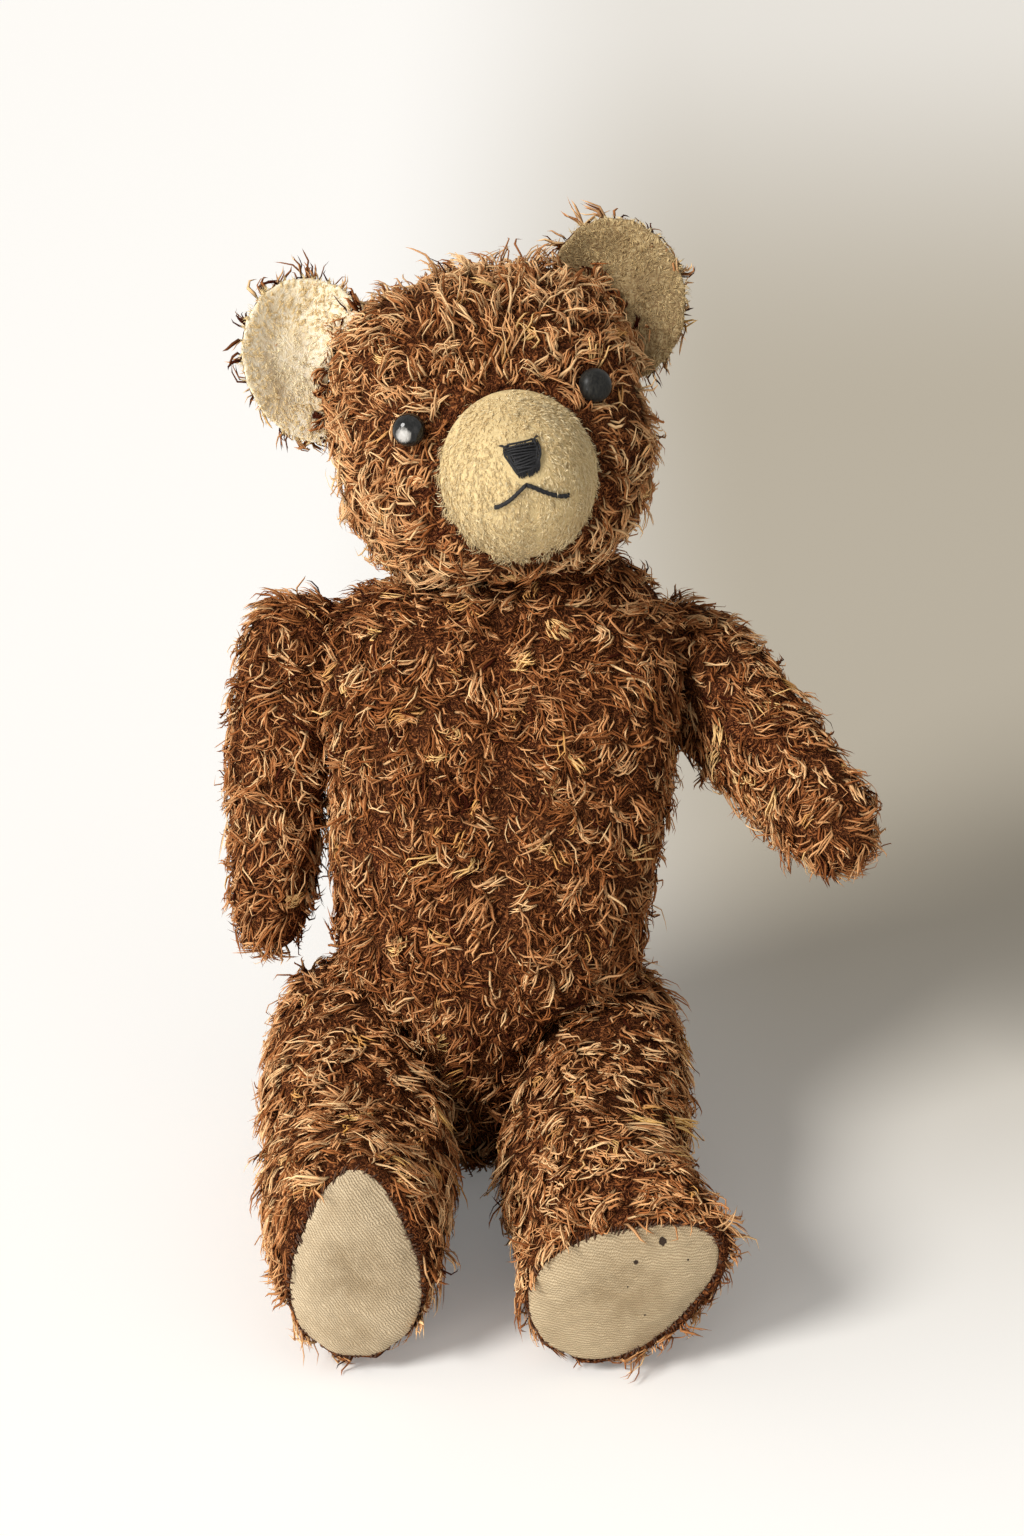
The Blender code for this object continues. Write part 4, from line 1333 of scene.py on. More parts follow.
    def build(self, path: Rows, normals: Rows, girth: Sequence[float], radius: Rows,
              tone: Rows, stations: Sequence[float]) -> Piece:
        """Build closed three-sided strands, pointed at both ends, along their paths.

        Args:
            path: Points of each strand.
            normals: The surface's normal at each root, which the strands' ridges face.
            girth: The share of the radius at each station.
            radius: Each strand's radius.
            tone: Each strand's tone.
            stations: How far along each point is, from 0 to 1.

        Returns:
            The piece.
        """
        size, steps = path.shape[:2]
        heading = unit(np.gradient(path, axis=1))
        reference = unit(np.cross(heading, normals[:, None, :] + 0.001))
        other = -np.cross(heading, reference)
        rings = [path[:, 0]]
        for step in range(1, steps - 1):
            reach = (radius * girth[step])[:, None]
            for corner in range(3):
                angle = 2.0 * math.pi * corner / 3.0 + math.pi / 2.0
                rings.append(path[:, step] + reach * (self.wide * reference[:, step] * math.cos(angle)
                                                      + self.thick * other[:, step] * math.sin(angle)))
        rings.append(path[:, -1])
        rows = np.stack(rings, 1)
        each = rows.shape[1]
        last = 1 + 3 * (steps - 3)
        sides = ((0, 1), (1, 2), (2, 0))
        faces = [(0, 1 + after, 1 + corner) for corner, after in sides]
        faces += [(base + corner, base + after, base + 3 + after, base + 3 + corner)
                  for base in range(1, last, 3) for corner, after in sides]
        faces += [(last + corner, last + after, each - 1) for corner, after in sides]
        loops = [len(face) for face in faces]
        numbers = (np.arange(size)[:, None] * each + np.concatenate(faces)).ravel()
        mesh = mesh_from(self.name, rows.reshape(-1, 3), numbers, loops * size)
        around = np.array([0.0] + [-0.05, 0.0, 0.05] * (steps - 2) + [0.0])
        tones = (tone[:, None] + around[None, :]).ravel()
        shares = [0.0, *np.repeat(stations[1:-1], 3), 1.0]
        share = np.repeat(np.array(shares)[None, :], size, 0).ravel()
        for label, values in (("tone", tones), ("along", share)):
            attribute = mesh.attributes.new(label, "FLOAT", "POINT")
            attribute.data.foreach_set("value", values.astype(np.float32))
        write_map(mesh, "OFBake", np.stack([np.clip(tones, 0.0, 1.0), 0.02 + 0.96 * share], 1))
        piece = make_object(self.name, mesh, dress(self.finish))
        LOG.info("%s: %d strands, %d triangles", self.name, size, (sum(loops) - 2 * len(loops)) * size)
        return piece


NAP = {"kind": Pile.SHORN, "lift": 0.16, "curl": 0.3, "standing": 0.0, "golden": 0.0}


# ---------------------------------------------------------------- threads


def lay_threads(name: str, runs: Sequence[Sequence[Vector]], radius: float, finish: str) -> Piece:
    """Lay round threads along their paths as one mesh piece.

    Args:
        name: The piece's name.
        runs: The points of each thread.
        radius: The thread's radius.
        finish: Its finish.

    Returns:
        The piece.
    """
    curve = bpy.data.curves.new(name, "CURVE")
    curve.dimensions = "3D"
    curve.bevel_depth = radius
    curve.bevel_resolution = THREAD_ROUNDNESS
    curve.use_fill_caps = True
    for run in runs:
        spline = curve.splines.new("POLY")
        spline.points.add(len(run) - 1)
        for index, (point, place) in enumerate(zip(spline.points, run)):
            point.co = (*place, 1.0)
            point.radius = THREAD_END if index in (0, len(run) - 1) else 1.0
    piece = bpy.data.objects.new(name, curve)
    bpy.context.scene.collection.objects.link(piece)
    select_only(piece)
    bpy.ops.object.convert(target="MESH")
    piece = bpy.context.view_layer.objects.active
    piece.name = name
    piece.data.materials.clear()
    piece.data.materials.append(dress(finish))
    piece.data.shade_smooth()
    return piece


def box_centre(node: str) -> Vector:
    """Return the middle of a CAD node's box."""
    low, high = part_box(node)
    return (low + high) / 2.0


# ---------------------------------------------------------------- the bear's parts


@dataclass
class SoftPart:
    """One stuffed part: a cover with its pile, and the shavings in it."""

    name: str
    body: str
    pins: tuple[str, ...]
    seed: int
    voxel: float = 4.6 * MM
    core_voxel: float = 5.0 * MM
    thick: float = 1.6 * MM
    swelling: float = 1.8 * MM
    shaggy_density: float = 0.168
    under_density: float = 0.205
    fur_length: float = 9.0 * MM
    fur_radius: float = 0.27 * MM
    fur_tone: float = 0.42
    upright: float = 0.15
    standing: float = 0.03
    swirl: float = 1.0
    form: Optional[Piece] = None
    coarse: Optional[Mesh] = None
    tree: Optional[BVHTree] = None
    area: float = 0.0
    panels: list[Panel] = field(default_factory=list)

    def cover_node(self) -> str:
        """Return the CAD cover's name."""
        return f"{self.name}_cover"

    def core_node(self) -> str:
        """Return the CAD stuffing's name."""
        return f"{self.name}_stuffing"

    def sheets(self) -> list[Surface]:
        """Return the outer sheets that the form is closed from."""
        return [outer_cloth(self.cover_node(), self.core_node(), self.pins)]

    def held(self, places: Rows) -> Rows:
        """Return 1 where the cloth is drawn flat against a joint disc, fading to 0 away from it."""
        found = np.zeros(len(places))
        for pin in self.pins:
            place, axis = JOINTS[pin]
            apart = places - np.array(place)
            along = apart @ np.array(axis)
            radial = np.linalg.norm(apart - along[:, None] * np.array(axis), axis=1)
            near = ease(radial, DISC_REACH, -8.0 * MM) * ease(np.abs(along), 5.0 * MM, -3.0 * MM)
            found = np.maximum(found, near)
        if self.name == "torso":
            found = np.maximum(found, ease(places[:, 2], 9.0 * MM, -5.0 * MM))
            found = np.maximum(found, lap_share(places))
        return found

    def shape(self) -> None:
        """Build the stuffed form."""
        form = stuffed_form(f"{self.name}_form", self.sheets(), self.voxel)
        places = coordinates(form.data)
        swell(form, self.held(places), self.swelling)
        self.mould(form)
        self.settle(form)
        self.coarse = form.data.copy()
        refine(form)
        self.settle(form)
        self.form = form
        self.tree = tree_of(form.data)
        self.area = cloth_area(form.data)

    def mould(self, form: Piece) -> None:
        """Give the form the unevenness of its stuffing."""
        places = coordinates(form.data)
        free = 1.0 - self.held(places)
        lumps = 0.9 * MM * billow(places, 21.0 * MM, self.seed)
        lumps += 0.45 * MM * billow(places, 9.0 * MM, self.seed + 3.0)
        draw_in(form.data, -lumps * free)

    def settle(self, form: Piece) -> None:
        """Keep the form on or above the floor."""
        places = coordinates(form.data)
        places[:, 2] = np.maximum(places[:, 2], 0.1 * MM)
        move_vertices(form.data, places)

    def lie(self, places: Rows, normals: Rows) -> Rows:
        """Return the way that the pile lies: downward."""
        return np.broadcast_to(np.array([0.0, 0.0, -1.0]), places.shape)

    def thin(self, places: Rows) -> Rows:
        """Return the share of the pile that is left at each place."""
        worn = billow(places, 26.0 * MM, self.seed + 20.0)
        found = 1.0 - 0.55 * ease(worn, 0.22, 0.25)
        for panel in self.panels:
            found *= panel.signed(places) > 0.5 * MM
        return found

    def trim(self, places: Rows, normals: Rows, others: Sequence["SoftPart"]) -> Rows:
        """Return how far the pile may stand where another part lies against it.

        Args:
            places: Roots.
            normals: The surface's normals there.
            others: The other parts.

        Returns:
            A share of the pile's length for each root.
        """
        found = np.clip(places[:, 2] / (6.0 * MM), 0.35, 1.0)
        for other in others:
            low = np.array([min(c[i] for c in other.form.bound_box) for i in range(3)]) - 8.0 * MM
            high = np.array([max(c[i] for c in other.form.bound_box) for i in range(3)]) + 8.0 * MM
            near = np.flatnonzero(((places > low) & (places < high)).all(1))
            for index in near:
                place, normal = Vector(places[index]), Vector(normals[index])
                hit = other.tree.ray_cast(place - normal * (0.2 * MM), normal, 9.0 * MM)
                if hit[0] is None:
                    continue
                if hit[1].dot(normal) > 0.0:
                    found[index] = 0.0
                else:
                    found[index] = min(found[index], max(0.0, (hit[3] - 0.5 * MM) / (3.5 * MM)))
        return found

    def cover(self) -> None:
        """Build the cloth cover itself, with its panels' openings, and dress it."""
        mesh = bmesh.new()
        mesh.from_mesh(self.coarse)
        for panel in self.panels:
            bmesh.ops.delete(mesh, geom=cut_panel(mesh, panel), context="FACES")
        name = f"{self.name}_cloth"
        piece = make_object(name, from_bmesh(name, mesh), dress("ground"))
        make_shell(piece, self.thick)
        settle_in(piece, self.body, self.cover_node())

    def panel_cloth(self, name: str, finish: str, thick: float) -> Piece:
        """Build the cloth of the part's own panel, cut out of its form.

        Args:
            name: The piece's name.
            finish: Its cloth's finish.
            thick: Its cloth's thickness.

        Returns:
            The piece.
        """
        mesh = bmesh.new()
        mesh.from_mesh(self.form.data)
        inside = set(cut_panel(mesh, self.panels[0]))
        bmesh.ops.delete(mesh, geom=[f for f in mesh.faces if f not in inside], context="FACES")
        piece = make_object(name, from_bmesh(name, mesh), dress(finish))
        make_shell(piece, thick)
        return piece

    def coats(self, others: Sequence["SoftPart"]) -> None:
        """Grow the long pile and the short pile under it."""

        def trim(places: Rows, normals: Rows) -> Rows:
            """Trim against the other parts."""
            return self.trim(places, normals, others)

        area = self.area / MM ** 2
        long_pile = Coat(f"{self.name}_fur", "fur", int(area * self.shaggy_density), self.fur_length,
                         self.fur_radius, self.lie, self.thin, trim, self.seed, tone=self.fur_tone,
                         tone_spread=0.13, clump=5, upright=self.upright, swirl=self.swirl,
                         standing=self.standing)
        under_pile = Coat(f"{self.name}_underfur", "underfur", int(area * self.under_density),
                          0.85 * self.fur_length, 0.95 * self.fur_radius, self.lie, self.thin, trim,
                          self.seed + 100, kind=Pile.UNDER, clump=4, lift=0.28, tone=self.fur_tone + 0.04,
                          tone_spread=0.13, gather=0.5, bunch=0.15, swirl=self.swirl)
        for coat in (long_pile, under_pile):
            settle_in(coat.grow(self.form.data), self.body)

    def stuff(self) -> None:
        """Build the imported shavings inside."""
        piece = remeshed_copy(self.core_node(), f"{self.name}_wood_wool", self.core_voxel, "wood_wool")
        draw_in(piece.data, np.full(len(piece.data.vertices), 0.8 * MM))
        settle_in(piece, self.body, self.core_node())

    def finish(self) -> None:
        """Remove the working form."""
        bpy.data.objects.remove(self.form, do_unlink=True)


def lap_share(places: Rows) -> Rows:
    """Return 1 on the part of the torso's cloth that lies against the thighs, fading to 0."""
    found = np.zeros(len(places))
    for pin in ("hip_left_swing", "hip_right_swing"):
        place, _ = JOINTS[pin]
        apart = places - np.array(place)
        radial = np.hypot(apart[:, 1], apart[:, 2])
        found = np.maximum(found, ease(radial, LAP_REACH, -8.0 * MM))
    return found


def remeshed_copy(node: str, name: str, voxel: float, finish: str) -> Piece:
    """Return an evenly meshed copy of a CAD node.

    Args:
        node: The CAD node.
        name: The new piece's name.
        voxel: The size of its faces.
        finish: Its finish.

    Returns:
        The piece.
    """
    piece = make_object(name, from_bmesh(name, welded(node)))
    remesh(piece, voxel)
    piece.data.materials.clear()
    piece.data.materials.append(dress(finish))
    piece.data.shade_smooth()
    return piece


@dataclass
class Torso(SoftPart):
    """The torso, with its sewn front seam."""

    seam_x: float = 9.5 * MM
    seam_low: float = 45.0 * MM
    seam_high: float = 160.0 * MM

    def seam_gap(self, places: Rows) -> Rows:
        """Return the distance to the front seam, or a large number off its run."""
        on = (places[:, 1] < 0.02) & (places[:, 2] > self.seam_low) & (places[:, 2] < self.seam_high)
        return np.where(on, np.abs(places[:, 0] - self.seam_x), 1.0)

    def mould(self, form: Piece) -> None:
        """Draw the front seam in, besides the unevenness."""
        super().mould(form)
        draw_in(form.data, 1.1 * MM * bell(self.seam_gap(coordinates(form.data)), 4.0 * MM))

    def lie(self, places: Rows, normals: Rows) -> Rows:
        """Return the way that the pile lies: down, and a little away from the seam."""
        away = np.sign(places[:, 0] - self.seam_x) * np.exp(-np.abs(places[:, 0] - self.seam_x) / 0.02)
        return np.stack([0.8 * away, np.zeros(len(places)), np.full(len(places), -1.0)], 1)

    def thin(self, places: Rows) -> Rows:
        """Return the share left, less along the seam."""
        return super().thin(places) * np.where(self.seam_gap(places) < 0.9 * MM, 0.25, 1.0)


@dataclass
class Limb(SoftPart):
    """An arm or a leg, whose pile lies toward its end."""

    def run(self) -> Vector:
        """Return the direction from the joint to the far end."""
        low = coordinates(self.form.data).mean(0)
        return (Vector(low) - JOINTS[self.pins[0]][0]).normalized()

    def lie(self, places: Rows, normals: Rows) -> Rows:
        """Return the way that the pile lies: along the limb, turning downward on its sides."""
        along = np.array(self.run())
        down = np.array([0.0, 0.0, -1.0])
        side = np.clip(1.0 - np.abs(normals @ down), 0.0, 1.0)[:, None]
        return along + 0.35 * side * down


@dataclass
class Leg(Limb):
    """A leg, with its woven foot pad and the stitches round it."""

    side: Side = Side.LEFT
    pad_finish: str = "twill"
    pad_taper: float = 0.18
    weave_turn: float = math.radians(24.0)
    stitches: int = 74
    stitch_out: float = 1.3 * MM
    stitch_in: float = 0.9 * MM
    thread_radius: float = 0.24 * MM

    def pad_node(self) -> str:
        """Return the CAD pad's name."""
        return f"foot_pad_{self.side.word}"

    def sheets(self) -> list[Surface]:
        """Return the cover's and the pad's outer sheets."""
        pad = outer_cloth(self.pad_node(), self.core_node(), ())
        return [*super().sheets(), pad]

    def shape(self) -> None:
        """Find the pad's outline, then build the form."""
        self.panels = [Panel.from_node(self.pad_node(), self.core_node(), Vector((0, -1, 0)),
                                       Vector((0, 0, 1)))]
        self.panels[0].reshape(0.96, self.pad_taper, 1.02, self.panels[0].long_way())
        super().shape()

    def mould(self, form: Piece) -> None:
        """Draw the pad's seam in, besides the unevenness."""
        super().mould(form)
        gap = self.panels[0].signed(coordinates(form.data))
        draw_in(form.data, 1.0 * MM * bell(gap, 3.2 * MM))

    def lie(self, places: Rows, normals: Rows) -> Rows:
        """Return the way that the pile lies: round the thigh, and out past the pad's edge."""
        base = super().lie(places, normals)
        pad = self.panels[0]
        out = unit(places - np.array(pad.centre))
        turn = np.where(out @ np.array(pad.across) > 0.0, -1.0, 1.0)
        around = np.cross(np.array(pad.outward), out) * turn[:, None]
        near = ease(np.abs(pad.signed(places)), 24.0 * MM, -20.0 * MM)[:, None]
        return base * (1.0 - 0.8 * near) + (around * 1.1 + out * 0.25) * near

    def pad(self) -> None:
        """Build the twill pad and the overcast stitches that hold it."""
        panel = self.panels[0]
        piece = self.panel_cloth(f"{self.pad_node()}_twill", self.pad_finish, 1.4 * MM)
        refine(piece)
        turn = self.weave_turn * self.side.value
        u, v = panel.flat(coordinates(piece.data))
        write_map(piece.data, FLAT_CUT, np.stack([u * math.cos(turn) + v * math.sin(turn),
                                                  v * math.cos(turn) - u * math.sin(turn)], 1))
        settle_in(piece, self.body, self.pad_node())
        self.sew(panel)

    def sew(self, panel: Panel) -> None:
        """Lay the overcast stitches round the pad."""
        rng = np.random.default_rng(self.seed + 7)
        runs = []
        for step in range(self.stitches):
            angle = 2.0 * math.pi * (step + 0.3 * rng.normal()) / self.stitches
            slant = 0.055 + 0.02 * rng.normal()
            reach_in = self.stitch_in + 0.25 * MM * rng.normal()
            run = []
            for share in (0.0, 0.25, 0.5, 0.75, 1.0):
                grow = self.stitch_out - (reach_in + self.stitch_out) * share
                spot = panel.rim_point(angle + slant * (share - 0.5), grow)
                hit = self.tree.ray_cast(spot + panel.outward * (30.0 * MM), -panel.outward, 60.0 * MM)
                if hit[0] is None:
                    break
                lift = (0.55 * math.sin(math.pi * share) - 0.15) * MM
                run.append(hit[0] + hit[1] * lift)
            if len(run) == 5:
                runs.append(run)
        piece = lay_threads(f"{self.pad_node()}_stitches", runs, self.thread_radius, "sewing")
        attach(piece, self.body)


# ---------------------------------------------------------------- the head


@dataclass
class Head(SoftPart):
    """The head, with its muzzle panel, nose, mouth, eyes and ears."""

    left: Vector = field(default_factory=Vector)
    back: Vector = field(default_factory=Vector)
    up: Vector = field(default_factory=Vector)
    nap_density: float = 4.2
    nap_length: float = 2.3 * MM
    nap_radius: float = 0.085 * MM
    floss_columns: int = 19
    floss_bars: int = 11
    floss_radius: float = 0.33 * MM
    yarn_plies: int = 3
    yarn_turns: float = 3.2
    yarn_radius: float = 0.38 * MM
    eye_scale: float = 0.93

    def __post_init__(self) -> None:
        """Work out the head's own directions from the neck joint and the eyes."""
        self.up = JOINTS["neck_swivel"][1].copy()
        between = box_centre("eye_left") - box_centre("eye_right")
        self.left = (between - self.up * between.dot(self.up)).normalized()
        self.back = self.up.cross(self.left)

    def sheets(self) -> list[Surface]:
        """Return the cover's and the muzzle's outer sheets."""
        muzzle = outer_cloth("muzzle", self.core_node(), ())
        return [*super().sheets(), muzzle]

    def shape(self) -> None:
        """Find the muzzle's outline, then build the form."""
        self.panels = [Panel.from_node("muzzle", self.core_node(), -self.back, self.up)]
        self.panels[0].reshape(1.0, -0.02, 1.09)
        super().shape()

    def muzzle_place(self, across: float, height: float) -> Vector:
        """Return a point in front of the muzzle, in its panel's plane."""
        panel = self.panels[0]
        return panel.centre + panel.across * across + panel.upward * height

    def on_face(self, across: float, height: float, lift: float = 0.0) -> Vector:
        """Return the point of the face's surface behind a place in the muzzle panel's plane.

        Args:
            across: To the bear's left of the panel's middle.
            height: Above its middle.
            lift: How far to stand off the surface.

        Returns:
            The point.
        """
        start = self.muzzle_place(across, height) - self.back * (60.0 * MM)
        hit = self.tree.ray_cast(start, self.back, 120.0 * MM)
        return hit[0] + hit[1] * lift

    def mould(self, form: Piece) -> None:
        """Draw in the muzzle's seam and the seam under its chin, besides the unevenness."""
        places = coordinates(form.data)
        free = 1.0 - self.held(places)
        panel = self.panels[0]
        gap = panel.signed(places)
        soft = np.clip(gap / (6.0 * MM), 0.2, 1.0)
        lumps = 0.9 * MM * billow(places, 20.0 * MM, self.seed) * soft
        across, height = panel.flat(places)
        dip = 1.1 * MM * bell(gap, 3.2 * MM)
        chin = bell(across, 2.4 * MM) * ease(height, -3.0 * MM, -4.0 * MM)
        dip += 0.9 * MM * chin * (gap < 0.0)
        draw_in(form.data, dip - lumps * free)

    def lie(self, places: Rows, normals: Rows) -> Rows:
        """Return the way that the pile lies: out from the muzzle, and down the cheeks."""
        out = unit(places - np.array(self.panels[0].centre + self.back * (10.0 * MM)))
        found = out + np.array([0.0, 0.0, -0.45])
        for side in Side:
            apart = np.array(box_centre(f"eye_{side.word}")) - places
            gap = np.linalg.norm(apart, axis=1)
            found += unit(apart) * (1.8 * ease(gap, 8.0 * MM, -3.0 * MM))[:, None]
        return found

    def thin(self, places: Rows) -> Rows:
        """Return the share of the pile that is left, with none under the eyes."""
        found = super().thin(places)
        for side in Side:
            found *= np.linalg.norm(places - np.array(box_centre(f"eye_{side.word}")), axis=1) > 4.6 * MM
        return found

    def muzzle_lie(self, places: Rows, normals: Rows) -> Rows:
        """Return the way that the muzzle's nap lies: down and round."""
        apart = places - np.array(self.panels[0].centre)
        return unit(apart) * 0.5 - np.array(self.up) * 1.0

    def muzzle_keep(self, places: Rows) -> Rows:
        """Return the share of nap left on the muzzle, worn off at the nose."""
        panel = self.panels[0]
        across, height = panel.flat(places)
        nose = np.hypot(across / (7.0 * MM), (height - 5.0 * MM) / (7.5 * MM))
        seam = np.where((np.abs(across) < 0.7 * MM) & (height < -4.0 * MM), 0.0, 1.0)
        thin = 1.0 - 0.5 * ease(billow(places, 9.0 * MM, 41.0), 0.1, 0.3)
        return (panel.signed(places) < -0.1 * MM) * (nose > 0.9) * seam * thin

    def muzzle_trim(self, places: Rows, normals: Rows) -> Rows:
        """Return the nap's length: short, with a longer fringe along the lower right edge."""
        panel = self.panels[0]
        across, height = panel.flat(places)
        edge = ease(panel.signed(places), -3.5 * MM, 3.0 * MM)
        low_right = np.clip(0.35 - (0.8 * across + height) / (18.0 * MM), 0.0, 1.0)
        return 1.0 + 0.9 * edge * low_right

    def muzzle(self) -> None:
        """Build the muzzle panel and its nap."""
        piece = self.panel_cloth("muzzle_cloth", "cream_ground", 1.5 * MM)
        settle_in(piece, self.body, "muzzle")
        nap = Coat("muzzle_nap", "cream", int(self.area / MM ** 2 * self.nap_density), self.nap_length,
                   self.nap_radius, self.muzzle_lie, self.muzzle_keep, self.muzzle_trim, 61, clump=3,
                   swirl=0.3, swirl_size=9.0 * MM, tone=0.55, tone_spread=0.08, gather=0.3, **NAP)
        settle_in(nap.grow(self.form.data), self.body)

    def nose(self) -> None:
        """Lay the nose's satin stitches and the strays over them."""
        rng = np.random.default_rng(17)
        low, high = self.extent("nose_stitching")
        runs = []
        for step in range(self.floss_columns):
            share = 2.0 * step / (self.floss_columns - 1) - 1.0
            top = high[1] - 0.4 * MM * abs(share) + 0.25 * MM * rng.normal()
            bottom = low[1] + 0.25 * MM * rng.normal() + 0.9 * MM * abs(share) ** 3
            run = []
            for part in np.linspace(0.0, 1.0, 7):
                width = high[0] * float(np.interp(part, (0.0, 0.45, 0.7, 1.0), (0.88, 0.84, 0.66, 0.55)))
                across = share * width + 0.1 * MM * rng.normal()
                lift = 1.15 * math.sin(math.pi * min(max(part, 0.03), 0.97)) ** 0.5 - 0.1
                run.append(self.on_face(across, top + (bottom - top) * part, lift * MM))
            runs.append(run)
        for index in range(self.floss_bars):
            height = high[1] - (0.3 + 0.72 * index) * MM
            reach = high[0] * (0.92 - 0.42 * (high[1] - height) / (high[1] - low[1]))
            tilt = rng.normal(0.0, 0.3) * MM
            run = [self.on_face(reach * s, height + tilt * s, (1.55 if abs(s) < 0.9 else 0.6) * MM)
                   for s in (-1.0, -0.6, -0.2, 0.2, 0.6, 1.0)]
            runs.append(run)
        strays = (((-5.8, 0.7), (-3.0, -1.5)), ((5.6, 0.8), (2.6, -1.2)), ((3.4, 0.6), (4.0, -2.5)))
        for start, end in strays:
            first, last = np.array(start) * MM + [0, high[1]], np.array(end) * MM + [0, high[1]]
            run = [self.on_face(*(first + (last - first) * s),
                                (0.1 + 1.5 * math.sin(math.pi * s) ** 0.6) * MM)
                   for s in (0.0, 0.3, 0.65, 1.0)]
            runs.append(run)
        piece = lay_threads("nose_threads", runs, self.floss_radius, "floss")
        settle_in(piece, self.body, "nose_stitching")

    def extent(self, node: str) -> tuple[Rows, Rows]:
        """Return a CAD node's box in the muzzle panel's plane."""
        flat = np.stack(self.panels[0].flat(coordinates(frame["nodes"][node].data)), 1)
        return flat.min(0), flat.max(0)

    def mouth(self) -> None:
        """Lay the mouth's two yarn stitches, each twisted of three plies."""
        low, high = self.extent("mouth_stitching")
        peak = np.array([(low[0] + high[0]) / 2.0 - 1.1 * MM, high[1] - 0.75 * MM])
        ends = (np.array([high[0], low[1] + 0.75 * MM]), np.array([low[0], low[1] + 2.3 * MM]))
        runs = []
        for end in ends:
            line = []
            for share in np.linspace(0.0, 1.0, 22):
                across = peak[0] + (end[0] - peak[0]) * share
                height = peak[1] + (end[1] - peak[1]) * math.sin(share * math.pi / 2.0) ** 1.15
                line.append((across, height, share))
            for ply in range(self.yarn_plies):
                run = []
                for across, height, share in line:
                    turn = 2.0 * math.pi * (ply / self.yarn_plies + self.yarn_turns * share)
                    dive = 0.9 * MM * (max(0.0, share - 0.9) * 10.0 + max(0.0, 0.05 - share) * 10.0)
                    run.append(self.on_face(across + 0.1 * MM * math.cos(turn),
                                            height + 0.34 * MM * math.cos(turn),
                                            0.55 * MM + 0.32 * MM * math.sin(turn) - dive))
                runs.append(run)
        piece = lay_threads("mouth_yarn", runs, self.yarn_radius, "floss")
        settle_in(piece, self.body, "mouth_stitching")

    def eye(self, side: Side, finish: str) -> None:
        """Build one glass eye.

        Args:
            side: Which eye.
            finish: Its glass.
        """
        node = f"eye_{side.word}"
        outward = (box_centre(node) - box_centre(f"eye_shank_{side.word}")).normalized()
        places = coordinates(frame["nodes"][node].data)
        along = (places - places.mean(0)) @ np.array(outward)
        radial = np.linalg.norm((places - places.mean(0)) - along[:, None] * np.array(outward), axis=1)
        radius, height = self.eye_scale * float(radial.max()), float(np.ptp(along))
        base = Vector(places.mean(0)) + outward * float(along.min())
        bpy.ops.object.select_all(action="DESELECT")
        bpy.ops.mesh.primitive_uv_sphere_add(segments=48, ring_count=32, radius=1.0)
        piece = bpy.context.view_layer.objects.active
        bpy.ops.object.mode_set(mode="EDIT")
        bpy.ops.mesh.select_all(action="SELECT")
        bpy.ops.mesh.bisect(plane_co=(0, 0, -0.02), plane_no=(0, 0, 1), clear_inner=True, use_fill=True)
        bpy.ops.object.mode_set(mode="OBJECT")
        rows = coordinates(piece.data)
        rows[:, 2] += 0.02
        rows[:, :2] *= radius
        dome = rows[:, 2].clip(0.0, 1.0)
        rows[:, 2] = height * (0.3 * dome ** 0.45 + 0.7 * dome)
        turn = outward.to_track_quat("Z", "Y").to_matrix()
        move_vertices(piece.data, rows @ np.array(turn).T + np.array(base))
        piece.name = f"{node}_glass"
        # The right eye's pale scratched spot, low and toward its outer side, is a painted highlight.
        spot = base + outward * (0.75 * height) - self.left * (0.22 * radius) - self.up * (0.25 * radius)
        glass = FINISHES[finish]
        piece.data.materials.append(replace(glass, chafed=tuple(spot)).build() if side is Side.RIGHT
                                    else glass.build())
        piece.data.shade_smooth()
        settle_in(piece, self.body, node)


